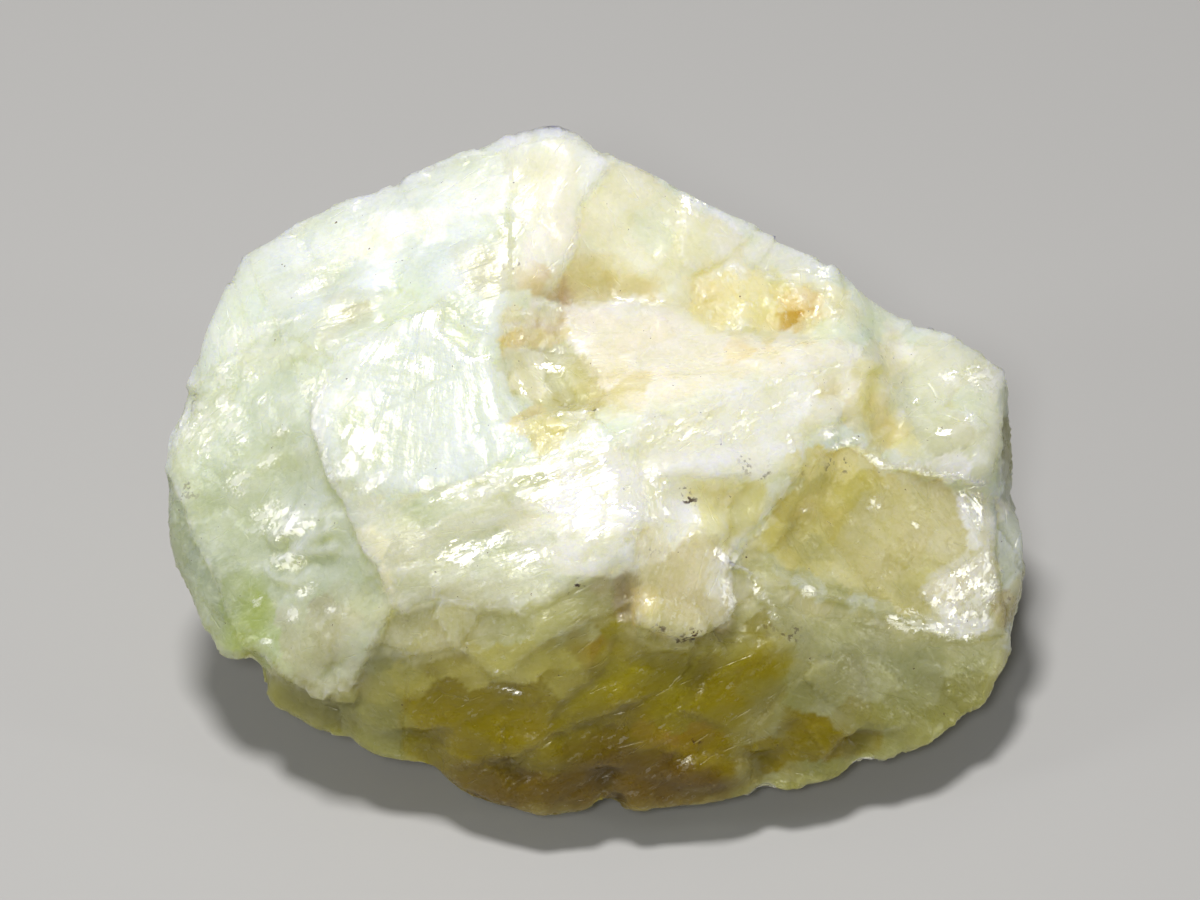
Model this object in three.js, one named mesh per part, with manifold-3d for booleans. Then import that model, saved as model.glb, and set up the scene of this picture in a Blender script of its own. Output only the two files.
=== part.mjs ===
// Datolite crystal: one rough, broken lump of pale green, translucent datolite, 50 mm long.
//
// The lump is one solid with fracture faces all round. It is joined from five convex blocks, each
// the hull of the corners where its fracture faces meet. Hollows are cut out of a block by convex
// chips, and a chip is the hull of the corners of the flake that broke away there. The lump rests
// on one flat fracture face underneath.
//
// Millimetres, +Z up. The origin is under the middle of the lump, on the surface that it rests on.
// +X runs along the lump and -Y is its broken front.
import * as THREE from "three";
import { ConvexGeometry } from "three/addons/geometries/ConvexGeometry.js";
import { mergeVertices } from "three/addons/utils/BufferGeometryUtils.js";
import Module from "manifold-3d";

// The main block: summit, crest, broken front and both ends.
const MAIN_BLOCK = {
  summit: [[-5.4, 10.1, 30.5], [-1.9, 9.7, 31], [0.3, 8.4, 30]],
  rightSlope: [[5.5, 6.4, 28], [11.2, 6.2, 25], [13.9, 6.4, 23.5]],
  crest: [
    [-15.7, -4.9, 21.4], [-10.8, -8.4, 20.7], [-4.1, -8.1, 22.5],
    [0.3, -7.3, 24], [8.2, -3.6, 23], [15.2, 1.7, 21],
  ],
  lip: [[-11.1, -12.2, 14.6], [-3, -14, 15], [2.6, -12, 17], [7.9, -10.1, 16]],
  toe: [
    [-19.6, -9.1, 6.8], [-18.8, -11.2, 6], [-15.1, -13.4, 5], [-8.2, -15.2, 4], [-3.1, -17.4, 3],
    [2, -17, 3], [8.3, -16.5, 3], [14.6, -14.7, 3.5], [19.2, -12.8, 4], [22.5, -9.7, 4.5],
  ],
  rightEnd: [
    [17.5, -2.2, 16], [23.6, -3.4, 9.5], [24.3, -5.7, 5.5],
    [25.1, -4.2, 8], [24.8, 0.2, 4.5], [24.9, -0.3, 10.2], [24.6, 3.4, 8],
  ],
  back: [
    [-16, 6.4, 20], [-10, 16.4, 15], [0, 17.4, 15], [10, 15.4, 13], [18, 11.4, 9],
    [-13, 12.4, 4], [0, 14.4, 4], [12, 11.4, 4],
  ],
  restingFace: [
    [-12, -8.6, 0], [-4, -12.6, 0], [8, -11.6, 0], [14, -5.6, 0],
    [12, 3.4, 0], [3, 8.4, 0], [-8, 6.4, 0], [-13, -0.6, 0],
  ],
};
const MAIN_CHIPS = {
  valley: {
    floor: [
      [-2.5, -3.1, 23], [3, -0.6, 23], [9, 1.6, 22], [12.5, 3, 21.4],
      [-1, 1, 23.8], [4, 2.4, 23.8], [9.5, 3.6, 22.8],
    ],
    rim: [
      [-4, -6.6, 24.6], [0.8, -6.2, 24.6], [8.4, -2.5, 24], [14.5, 2, 22.2],
      [0.2, 7.6, 29.4], [5.4, 6.3, 27.7], [11, 6.1, 24.8], [13.2, 6.2, 23.6],
    ],
    above: [[-5, -6.6, 27], [-7, 6.4, 33], [-1, 14.4, 36], [5, 12.4, 34], [14.5, 11.4, 30], [14.5, 2, 32]],
  },
  brownHollow: {
    floor: [[-4, -5, 21.8], [-3.8, -1, 22.6], [-1, -4.6, 22], [-1.2, -0.1, 22.8]],
    rim: [[-5.4, -6.6, 23.2], [-5.2, 0.8, 25.4], [1.2, -6.2, 24.2], [1.4, 1.4, 25]],
    above: [[-5.4, -6.6, 30], [-5.2, 0.8, 30], [1.2, -6.2, 30], [1.4, 1.4, 30]],
  },
  summitPocket: {
    floor: [[-3.2, 2.4, 26], [0.6, 3, 25.2]],
    rim: [[-4.6, 1.8, 27.2], [-4.6, 5.4, 29], [-1.6, 4.8, 28.4], [2, 3.4, 26.6]],
    above: [[-4.6, 1.8, 32], [-4.6, 5.4, 34], [2, 3.4, 32]],
  },
  rightRecess: {
    floor: [
      [13.4, -3.8, 16.8], [11.6, -7.4, 15.9], [12.4, -8.8, 13.6],
      [17, -7.8, 11.9], [21.8, -5.4, 11.2], [21.8, -2.6, 13.8],
    ],
    rim: [
      [13.6, -2.2, 19.2], [11.6, -5, 19], [9.8, -8.6, 17.4], [9.2, -11, 14.4],
      [15.6, -11.2, 11.2], [20.6, -8.8, 9.6], [24.2, -5.2, 9.8], [24.2, -1, 13.6], [17, -1, 17.6],
    ],
    outside: [[18, -15.6, 24], [28, -11.6, 20], [22, -17.6, 14]],
  },
  backFlake: {
    floor: [[3.4, 12, 18.4], [9, 11, 16.6], [7, 10.2, 19.8]],
    rim: [[0, 14.8, 18.4], [12.4, 12, 15.6], [11, 8, 22], [3, 9.8, 24]],
    outside: [[2, 18.4, 25], [11, 16.4, 22]],
  },
  toeNotch: {
    floor: [[1.2, -15.8, 2.2], [1.4, -16.2, 3.8]],
    rim: [[0.2, -17.4, 1.8], [2.6, -17.4, 1.8], [0.4, -17.5, 4], [2.2, -17.5, 4]],
    outside: [[0.2, -19.6, 1.8], [2.6, -19.6, 1.8], [1.4, -19.6, 4.4], [1.2, -15.6, 0.5]],
  },
};

// The left dome stands behind the main block's left edge and ends in a tongue at the front.
const LEFT_DOME = {
  ridge: [
    [-4.7, 10, 30.5], [-8.8, 9.2, 29.1], [-15.2, 8.5, 26.6], [-20.1, 7, 24],
    [-22.7, 3.2, 20], [-25.1, -1.1, 15], [-24.2, -4.6, 10], [-21.7, -9, 7.5],
  ],
  crackEdge: [[-4.6, 5.4, 28.8], [-4.6, 0.8, 26.4], [-5, -1.2, 25.2]],
  foot: [[-7, 1.4, 25.6], [-11, 0.3, 24.6], [-14.6, -1.6, 23.1], [-15.4, -4.3, 20.6]],
  tongue: [[-11.4, -10.5, 13.3], [-11.8, -12, 10.8], [-14.1, -13.6, 8], [-17.4, -11.4, 7.8]],
  back: [[-21, 10.4, 17], [-10, 16.4, 16], [-22, 5.4, 8], [-13, 8.4, 4]],
  underside: [[-17.6, -6.6, 4.6], [-18, 1.4, 4]],
  buried: [[-6, 8.4, 22], [-11, -7.6, 5]],
};

// The knob at the right end.
const KNOB = {
  skyline: [[16, 5.9, 20.2], [21.2, 5.6, 18.7], [23.7, 4.8, 17], [24.2, 3.9, 15.4]],
  ledge: [[15.2, -1, 17.6], [17.5, -2.5, 16.6], [22.8, -1.4, 15], [23.8, 2.2, 14]],
  edge: [[23.6, -0.2, 12], [24.8, 1.4, 10.5]],
  back: [[14, 11.8, 14.6], [19.4, 10.4, 13], [23, 7.8, 9.6]],
  buried: [[13, 3.4, 12]],
};
const KNOB_CHIPS = {
  saddle: {
    floor: [[16.2, -0.6, 16.8], [17, 3, 18.8], [15.6, 2, 19]],
    rim: [[14.2, -0.6, 18.8], [19.4, -1.2, 17.2], [14.6, 5, 22], [19.2, 4.6, 19]],
    above: [[16, -0.6, 26], [19, -0.6, 24], [15, 4.4, 28], [19, 4.4, 25]],
  },
};

// The shoulder that carries the right slope down to the knob.
const SHOULDER = {
  skyline: [[13.4, 6.4, 23.5], [18, 5.9, 19.2]],
  front: [[14.8, 1.8, 20.9], [16.6, 0.4, 18.4]],
  back: [[13, 11.4, 16], [17.6, 10.4, 14]],
  buried: [[12, 3.4, 14]],
};

// The tooth that stands out of the broken front under the crest.
const TOOTH = {
  face: [[2.9, -12.3, 16.8], [7.9, -10.5, 16.3], [8.4, -12, 13.8], [5.4, -13.9, 12.4], [3, -14.1, 12.6]],
  buried: [[3, -9.6, 16], [8, -7.6, 14], [5, -9.6, 11]],
};

const wasm = await Module();
wasm.setup();

function solidOf(geometry) {
  geometry.deleteAttribute("normal");
  geometry.deleteAttribute("uv");
  const merged = mergeVertices(geometry, 1e-4);
  return new wasm.Manifold(
    new wasm.Mesh({
      numProp: 3,
      vertProperties: new Float32Array(merged.attributes.position.array),
      triVerts: new Uint32Array(merged.index.array),
    }),
  );
}

function geometryOf(solid) {
  const mesh = solid.getMesh();
  const geometry = new THREE.BufferGeometry();
  geometry.setAttribute("position", new THREE.BufferAttribute(mesh.vertProperties, 3));
  geometry.setIndex(new THREE.BufferAttribute(mesh.triVerts, 1));
  geometry.computeVertexNormals();
  return geometry;
}

function hull(corners) {
  const points = Object.values(corners).flat().map((corner) => new THREE.Vector3(...corner));
  return solidOf(new ConvexGeometry(points));
}

function chipped(block, chips = {}) {
  return Object.values(chips).reduce((rest, chip) => rest.subtract(hull(chip)), hull(block));
}

const lump = chipped(MAIN_BLOCK, MAIN_CHIPS)
  .add(chipped(LEFT_DOME))
  .add(chipped(KNOB, KNOB_CHIPS))
  .add(chipped(SHOULDER))
  .add(chipped(TOOTH));

const datolite = new THREE.Mesh(
  geometryOf(lump),
  new THREE.MeshStandardMaterial({ color: 0xd3d9a6, roughness: 0.3, metalness: 0 }),
);
datolite.name = "datolite";

const group = new THREE.Group();
group.add(datolite);
export default group;
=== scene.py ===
"""Datolite crystal: the finished look of a rough, translucent lump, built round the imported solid.

The stone is one mesh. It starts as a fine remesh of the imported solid, and every fracture line,
hollow, chip scar and ripple is then carved into it. Features that show on the broken front are
laid out on its show face: a plane tilted up from the front, with (across, up) in millimetres.
"""

import functools
import itertools
import math

import bpy
import numpy as np
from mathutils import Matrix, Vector


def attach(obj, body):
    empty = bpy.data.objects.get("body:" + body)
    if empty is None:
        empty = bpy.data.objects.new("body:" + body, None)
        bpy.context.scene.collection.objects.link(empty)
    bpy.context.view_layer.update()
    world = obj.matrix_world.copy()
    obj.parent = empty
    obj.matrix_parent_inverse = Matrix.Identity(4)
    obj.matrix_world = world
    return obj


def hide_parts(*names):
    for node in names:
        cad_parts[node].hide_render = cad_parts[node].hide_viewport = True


NODE = "datolite"
MM = 0.001

# The show face looks up at this angle, as the camera looks down at it.
SHOW_TILT = math.radians(42)
SHOW_OUT = np.array([0, -math.cos(SHOW_TILT), math.sin(SHOW_TILT)])
SHOW_UP = np.array([0, math.sin(SHOW_TILT), math.cos(SHOW_TILT)])
SHOW_MIDDLE_HEIGHT = 10.0

# The camera looks straight at the show face. All in millimetres.
CAMERA_TARGET = (0.3, -0.8, 15.9)
CAMERA_DISTANCE = 300.0
CAMERA_LENS = 156.6

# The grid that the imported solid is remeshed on, in millimetres.
VOXEL = 0.265

# ---- Fracture lines on the show face ------------------------------------------------------------

# Steps as (height, reach, line): the surface to the left of the line, looking along it, stands
# proud by height, and the rise fades out over reach.
STEPS = {
    "block edge": (0.5, 6.0, [
        (-14.6, 6.1), (-15.6, 4.1), (-15.7, 2.4), (-14.8, -0.1), (-13.7, -2.6), (-12.4, -4.9),
        (-11.3, -7.2),
    ]),
    "summit crack": (0.06, 3.5, [(-5.4, 7.2), (-5.2, 8.6), (-4.6, 9.9), (-4.8, 11.4)]),
    "plate top": (0.23, 3.0, [(-8.3, 9.8), (-8.7, 9.6), (-10.9, 8.5), (-13.8, 7.3), (-15, 6)]),
    "plate crack": (-0.2, 2.0, [(-8.9, 9.2), (-8.7, 8), (-8, 7.2), (-6.9, 6.3), (-5.6, 6.3)]),
    "lip": (0.35, 2.6, [
        (-12, -7.4), (-10.9, -7.8), (-8.6, -7.1), (-6.4, -7.4), (-4.1, -7.8), (-2.7, -7.3), (-1.6, -6.4),
        (0.3, -5.2), (1.2, -5),
    ]),
    "pale edge": (0.25, 2.2, [
        (-12.9, -10.6), (-10.1, -10.3), (-7.4, -9.8), (-6, -11.4), (-4.5, -11.3), (-4, -10.4), (-2.7, -9.3),
        (-0.7, -8.4), (1, -7.4),
    ]),
    "long ridge": (-0.2, 3.0, [
        (1.2, -8.6), (0.6, -9.9), (0.2, -11.2), (-1.9, -13), (-2.6, -14), (-2.5, -14.9),
    ]),
    "low ridge": (-0.22, 2.6, [
        (4.4, -12), (2.5, -12.9), (1, -13.6), (-1, -14.1), (-2.5, -14.9), (-4.2, -16), (-6.1, -16.6),
        (-9, -16.6),
    ]),
    "low right": (0.14, 4.0, [(12.1, -9.3), (12.3, -10.6), (11, -12.4), (8.8, -14.5), (8.9, -16.2)]),
    "right corner": (0.23, 2.5, [(12.4, -16.8), (13.2, -16), (14.6, -14.8), (16.2, -15), (18.2, -14.4)]),
    "tongue": (0.5, 4.5, [
        (-19.8, -9.8), (-18.5, -10.9), (-16.4, -12.2), (-15, -12.6), (-14, -12.4), (-13.4, -11.7),
        (-12.7, -10.2), (-11.8, -8.6), (-11.3, -6.8),
    ]),
    "tooth side": (-0.6, 2.6, [(6.6, -3.9), (7.9, -4.9), (7.1, -5.7), (7.9, -7.4), (7.7, -8.4), (6.4, -9)]),
    "tooth foot": (0.35, 2.4, [(2.2, -7.2), (2.6, -8.4), (4.2, -9.2), (5.4, -9.3), (6.6, -8.8)]),
    "facet top": (0.2, 2.4, [(2.6, -0.4), (4.3, -0.3), (7.2, -0.2), (8.9, -0.4), (10.7, 0.3), (11.8, 1)]),
    "facet middle": (-0.17, 2.4, [(7.4, -0.3), (7, -2.3), (7.6, -3.4), (8.4, -4.2)]),
    "facet foot": (0.17, 2.4, [(2.6, -2.6), (4, -3.4), (5.6, -4), (6.8, -5)]),
    "recess edge": (0.35, 3.0, [(7.7, -5.2), (8.5, -3.9), (10.2, -1.9), (11.9, 0.8), (12, 2.4)]),
    "recess ledge": (0.28, 2.4, [
        (12.4, 1), (14.4, 1.6), (15.1, 1.3), (16.3, 0.4), (17.8, 0.3), (20.2, -0.2), (22.9, -1),
    ]),
    "left face step": (0.2, 2.5, [
        (-13.6, -2.4), (-15.6, -2.2), (-17.2, -2.1), (-18.3, -2.6), (-19.2, -3.4),
    ]),
    "left side": (0.3, 2.5, [
        (-25, 1), (-24.3, -0.6), (-23.5, -2.2), (-22.3, -5), (-20.6, -8.6), (-19.4, -11),
    ]),
    "left face high": (0.12, 2.0, [(-16, 2), (-17.6, 1.4), (-19.6, 0.6), (-21.4, 0.8)]),
    "left face top": (0.15, 2.0, [(-15.6, 7.8), (-17.4, 7.2), (-20.3, 6.9), (-22, 5.6)]),
    "crest face": (0.17, 2.0, [(-6.2, -1.6), (-4.1, -0.6), (-1.9, 0.2), (-0.2, 0)]),
    "blown side": (-0.2, 2.6, [(2.2, 3), (1.8, 1), (2.6, -0.8), (2.9, -2.6), (2, -3.8)]),
    "crest to knob": (0.2, 1.8, [(3.4, 2.6), (5.6, 3), (8.2, 4.3), (11.7, 5.5), (15.4, 6.6)]),
    "slope line": (0.3, 3.0, [(-2.9, 9.9), (-2.3, 10.6), (-1.1, 13.2), (-0.9, 15), (1.2, 17.6)]),
    "ledge line": (-0.25, 2.4, [(0.3, 9.6), (2.6, 10), (4.6, 10.6), (6, 9.6)]),
    "shelf a": (-0.2, 1.4, [(-5.2, 8.3), (-2, 8.4), (-1.2, 9)]),
    "shelf b": (-0.2, 1.4, [(-5.4, 7), (-3, 6.9), (-1.2, 7.2)]),
    "hollow side": (-0.2, 1.8, [(-4.6, 6.6), (-3.4, 5.6), (-2.2, 4.2), (-1.2, 3.2)]),
    "right strip": (-0.4, 1.6, [
        (23.6, 4.6), (23.8, 1.6), (23.4, -1.6), (23.4, -5), (23.9, -8), (23.6, -10),
    ]),
    "rim band": (0.15, 2.2, [(8.6, -5.8), (11.8, -6.7), (14.5, -7.6), (17.5, -8.6), (21.4, -9.8)]),
    "frosted corner": (0.17, 2.5, [(21.1, -1), (21.3, -3.3), (22, -5.4), (20.9, -6.8), (19.4, -8.4)]),
}

# Ridges as (height, width, line). Grooves have a negative height.
RIDGES = {
    "crest": (0.35, 0.8, [(-6.9, -0.9), (-4.1, 0.2), (-1.9, 1), (1.5, 1.8), (4.8, 3.2)]),
    "ripple a": (0.4, 0.4, [(-18.6, -4.2), (-17.4, -3.2), (-16.2, -2.7)]),
    "ripple b": (0.4, 0.35, [(-17.2, -4.6), (-16, -3.6), (-14.6, -2.9)]),
    "ripple c": (0.4, 0.3, [(-18.3, -5), (-16.6, -4.6), (-14.2, -4.1)]),
    "ripple d": (0.3, 0.3, [(-18.8, -5.2), (-17.8, -5.9), (-16.6, -6), (-15.8, -5.5)]),
    "notch": (-0.55, 0.6, [(0.9, -5), (1.6, -5.8), (1.7, -6.8), (1.6, -8.2)]),
    "summit crack": (-0.07, 0.25, [(-5.3, 6.4), (-5.2, 8.6), (-4.6, 9.9), (-4.8, 12.2)]),
    "under tooth": (-0.5, 0.35, [(2.8, -9), (4.1, -9.6), (5.4, -9.7), (6.6, -9.3), (8.6, -9.2)]),
    "pocket": (-0.3, 1.0, [(-2, 10.4), (-0.8, 10.3), (1.4, 10.6)]),
    "ochre pocket": (-0.35, 0.9, [(10.4, 9.9), (11.4, 10.6)]),
    "knob hollow": (-0.5, 1.0, [(16, 6), (15.7, 4.2), (16.2, 2.2)]),
    "knob lens": (0.25, 0.4, [(17.4, 3.6), (17.9, 2.6), (17.4, 1.6)]),
}

# Grooves across the stone's lower edge that break up its outline, as (height, width, line).
EDGE_GROOVES = {
    "toe notch": (-0.6, 0.8, [(0.6, -16.6), (0.4, -20)]),
    "toe notch right": (-0.6, 1.1, [(9.6, -15.6), (9.8, -20)]),
    "toe dent left": (-0.8, 1.6, [(-10.2, -14.4), (-9.6, -19)]),
    "toe dent": (-0.5, 0.8, [(-14.6, -13), (-14, -17)]),
    "toe dent right": (-0.5, 1.0, [(15, -14.6), (15.4, -18.6)]),
    "foot of side": (-0.5, 0.8, [(-19.8, -10), (-19.4, -13.6)]),
}

# Wide swells and, with a negative height, hollows:
# (across, up, half width, half height, turn in degrees, height).
SWELLS = [
    (-2.4, 19, 2.6, 1.8, 0, 0.7), (-2.2, 4.2, 2.2, 2.2, 20, 0.3), (-11.6, 9.6, 3.4, 1.6, 20, -0.6),
    (-14.6, 10.9, 1.8, 1.1, 20, -0.35), (-9.6, 13, 3.4, 1.4, 28, -0.3), (-19, 2.6, 2.2, 1.6, 10, -0.3),
    (-15.4, -4.2, 3.2, 1.6, 10, -0.15), (8.2, -2.6, 2.2, 2, 30, -0.35), (4.8, -2.2, 1.6, 1.4, 0, -0.3),
    (13.4, -0.8, 3, 2.2, 10, 0.5), (-6.6, -12.8, 4, 1.6, -8, -0.3), (4.6, -11.4, 4.6, 1.5, 0, -0.35),
    (17.6, -12, 3.4, 2, -20, -0.3), (2.8, 13.6, 2.4, 1.6, 40, -0.25), (0.5, -3.6, 3.2, 3, 5, 0.9),
    (6.4, 0.2, 4.4, 1.1, 8, 0.35), (-6.4, -2.2, 3.4, 1.3, 14, 0.35), (-5.4, -5.6, 3.6, 1.1, 8, 0.3),
    (15.6, 4.4, 1.5, 2.8, 0, 0.9), (6.4, -3, 1.4, 1, 0, 0.4), (-10.6, -4.4, 2, 1.6, -30, 0.3),
    (-17.6, 3.4, 2, 1.4, 20, 0.3), (-15.6, -9.4, 2.6, 1.6, 30, 0.35), (12.6, 3.2, 2.4, 0.9, 20, 0.4),
    (20.6, 2.4, 1.8, 1.2, 20, 0.3), (19.6, -6.4, 1.6, 1, -20, 0.3), (9.6, -12, 2.4, 1.2, 30, 0.1),
    (-3.4, -15.8, 2.4, 1, -10, 0.4), (6.4, -17, 2.4, 1, 5, 0.4),
]

# ---- Fracture faces on the show face, as corners in order ---------------------------------------

FACES = {
    "left face": [
        (-24.7, -0.4), (-22.6, 5.3), (-17.9, 8.1), (-15.5, 2.4), (-13.7, -2.6), (-11.3, -7.1),
        (-12.6, -10.6), (-15, -12.6), (-18.5, -10.9), (-22.6, -7.3),
    ],
    "plate": [
        (-15, 6.1), (-10.9, 8.5), (-8.6, 9.6), (-8.4, 7.6), (-6.9, 6.4), (-5, 6.2), (-4.2, 4.1),
        (-3.5, 1.6), (-6.9, -0.2), (-10.8, -1.3), (-14.6, -0.4), (-15.7, 2.4),
    ],
    "central": [
        (-14.6, -0.3), (-10.8, -1.5), (-6.9, -0.4), (-1.9, 1), (1.5, 1.8), (2.6, -2.6), (0.6, -5.4),
        (-1.6, -6.6), (-4.1, -7.9), (-8.6, -7.1), (-11.3, -7.4), (-13.2, -3.8),
    ],
    "dome": [
        (-20.1, 12.5), (-15.2, 15.3), (-8.8, 17.7), (-4.8, 18.4), (-4.6, 10.3), (-5.2, 7.2), (-8.7, 9.8),
        (-11, 8.6), (-14.6, 6.4), (-17.9, 8.1),
    ],
    "summit": [
        (-4.6, 18.6), (-1.9, 19.2), (1, 17.6), (-0.9, 15), (-1.1, 13.2), (-2.3, 10.6), (-2.8, 10),
        (-4.6, 9.9),
    ],
    "slope": [
        (1.1, 17.6), (2.6, 17.3), (5.5, 15.4), (8.6, 13.6), (8.6, 10.4), (5.5, 9.6), (2.6, 9.7),
        (-2.6, 10.1), (-1.1, 13.2), (-0.9, 15),
    ],
    "pocket": [(-2.6, 10.1), (-1.1, 12.9), (1, 12), (3.6, 10.9), (3.4, 9.9), (-0.2, 9.7)],
    "ledge": [
        (-2.8, 9.8), (2.6, 9.8), (5.4, 9.6), (6.9, 8), (11.8, 7.6), (15.2, 7.6), (14.6, 6.1), (8.2, 4.7),
        (3.1, 3.2), (-0.2, 4.1), (-1.9, 7.4),
    ],
    "hollow": [(-5.3, 7), (-2.5, 6.9), (-0.2, 6.4), (0.6, 4.4), (-0.9, 2.4), (-2.6, 2.3), (-4.4, 4.6)],
    "shelves": [(-5, 9.2), (-2, 9.2), (-1.2, 7.8), (-1.4, 7), (-5.4, 7)],
    "crumble": [
        (5.5, 11.2), (8.2, 12.4), (10.4, 11.2), (13.2, 10.4), (14.1, 9), (11.4, 7.9), (8.6, 8.1),
        (6.9, 7.9), (5.5, 9.3),
    ],
    "amber corner": [(10, 9), (11.2, 10.7), (12.7, 10.5), (13.8, 9.3), (11.8, 8.2)],
    "shoulder": [(11.8, 12), (14.2, 10.2), (17.4, 7.8), (15.4, 6.8), (13.4, 9.2)],
    "crest right": [
        (2.4, 2.8), (8.2, 4.6), (15.2, 6.6), (15.4, 3.6), (12.2, 2), (11.6, 0.8), (8.9, -0.3), (4.3, -0.2),
        (2.4, -0.4),
    ],
    "facets": [
        (2.8, -0.3), (7.2, -0.2), (8.9, -0.4), (11.4, 0.8), (9.9, -2.2), (8.2, -4.4), (6.8, -4.8),
        (4.4, -3.6), (2.8, -2.6),
    ],
    "facet left": [
        (5.2, -0.6), (6.3, -1.1), (7, -1.4), (7.2, -2.6), (8.4, -3.5), (7.5, -4), (6.3, -3.5), (5, -2.4),
    ],
    "facet right": [
        (7.2, -1.1), (8.4, -0.6), (9.7, -0.9), (10, -1.6), (9.2, -3), (8.2, -3.8), (7.2, -3), (7, -1.9),
    ],
    "recess": [
        (8, -5.4), (9.9, -2.4), (11.9, 0.6), (14.4, 1.4), (16.3, 0.2), (20, -0.4), (22.6, -1.6),
        (23.2, -5.1), (21.2, -9), (17.4, -8.6), (14.5, -7.4), (10.5, -6.5),
    ],
    "recess dark": [
        (10.2, -2.2), (11.6, -0.4), (13.8, 0.4), (15.6, 0.1), (16.6, -0.8), (14.9, -2.2), (14.4, -4.1),
        (13, -5.4), (10.9, -5.2), (10, -3.8),
    ],
    "knob": [
        (15.6, 7.4), (21.2, 7.7), (23.8, 6.2), (23.7, 1.9), (22.8, -0.8), (19.9, -0.1), (16.4, 0.6),
        (15.4, 3), (15, 5.6),
    ],
    "knob hollow": [(15.1, 6.2), (16.6, 6), (17, 3.8), (18.4, 1.4), (16.6, 0.9), (15.2, 2.4), (14.9, 4.6)],
    "rim band": [
        (8.8, -5), (10.2, -5.4), (13.4, -6.3), (16.3, -7.3), (19, -8.3), (21.8, -9), (21.6, -10),
        (17.5, -8.6), (14.5, -7.6), (11.8, -6.7), (9.4, -6),
    ],
    "frost triangle": [(18.6, -6.9), (20.5, -5.6), (22.9, -4.2), (23.2, -6.5), (22.9, -9), (20, -8.4)],
    "frost patch": [(20.9, -0.9), (22.4, -1.1), (22.8, -3), (22, -3.6), (21.2, -2.2)],
    "lower right": [
        (9.6, -7.4), (13.6, -8.4), (19.9, -10), (23.5, -9.4), (24.1, -10.9), (20.4, -15.6), (14.6, -18),
        (8.8, -17.6), (8.8, -14.4), (12.2, -10.8),
    ],
    "grey patch": [
        (12.1, -9.3), (12.4, -10.6), (11, -12.4), (8.8, -14.5), (9, -15.9), (12.4, -16.8), (14.4, -14.9),
        (16.3, -13), (15.7, -10.1),
    ],
    "olive front": [
        (-12.9, -10.8), (-10.1, -10.4), (-7.4, -9.9), (-6, -11.5), (-4.5, -11.3), (-4, -10.4), (-2.7, -9.3),
        (-0.7, -8.4), (1.4, -7.6), (2.4, -9.2), (5.4, -9.6), (8.2, -9.1), (12.1, -9.3), (12.3, -10.6),
        (11, -12.4), (9, -15), (9.2, -18.4), (0.3, -19.8), (-6.5, -19.4), (-12.2, -16.6), (-13.4, -14.4),
    ],
    "olive deep": [
        (-10.6, -11.6), (-7, -10.4), (-5, -11.6), (-3, -10), (0.4, -8.6), (0.2, -11.2), (-2.2, -13.2),
        (-2.6, -14.8), (-6.4, -16.4), (-10, -15.6),
    ],
    "yellow layer": [
        (-11.4, -7.8), (-8.6, -7.2), (-6.4, -7.5), (-5.6, -8.6), (-7.4, -9.6), (-10, -10), (-12.4, -9.4),
    ],
    "green layer": [
        (-6.4, -7.6), (-4.1, -8), (-1.6, -6.6), (0.8, -5.4), (1, -7.4), (-0.7, -8.4), (-2.7, -9.3),
        (-4, -10.4), (-4.5, -11.3), (-6, -11.4), (-7.4, -9.7),
    ],
    "bottom rim": [
        (-9, -16.6), (-4.2, -16.2), (-1, -14.6), (2.5, -13.2), (3.2, -15.4), (8.4, -16.4), (9, -19.4),
        (0.4, -20.6), (-6.6, -20.4), (-10.4, -18.4),
    ],
    "left low": [
        (-19.6, -9.8), (-18.5, -11), (-15, -12.7), (-13.4, -11.7), (-12.4, -9.4), (-10.4, -10.4),
        (-10.6, -13), (-11, -17.6), (-16, -16.4), (-20.4, -13),
    ],
    "left side": [
        (-25.6, 1), (-24.3, -0.6), (-22.3, -5), (-20.6, -8.6), (-19.4, -11), (-22, -13), (-27, -8),
        (-27, 0),
    ],
    "tooth": [
        (2.2, -3.4), (2.4, -5.4), (2.3, -7), (2.6, -8.7), (5.4, -9.4), (7.2, -8.6), (7.7, -7.1), (7.2, -6),
        (7.7, -4.9), (6.8, -4), (5.9, -3.1), (4, -2.6),
    ],
    "tooth face": [(2.6, -6.2), (4.4, -5.9), (6.4, -6.4), (7, -7.4), (6.4, -8.6), (4.3, -9), (2.8, -8.4)],
    "notch": [(0.9, -5.2), (1.7, -5), (2.5, -5.4), (2.4, -7), (2.4, -8.8), (1.3, -8.4), (0.6, -6.5)],
    "strip": [
        (23.6, 4.6), (23.8, 1.6), (23.4, -1.6), (23.4, -5), (23.9, -8), (23.6, -10.4), (27, -12), (27, 5),
    ],
    "blown": [
        (-2.2, 0.4), (1.4, 1.6), (3, 0.6), (4.4, -0.6), (4.6, -2.4), (2.6, -3.4), (0.6, -3.8), (-1.6, -3.2),
        (-3, -1.6),
    ],
}

# ---- Colours, as the share of red, green and blue light that comes back, some with painted light and shade in them ---

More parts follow.
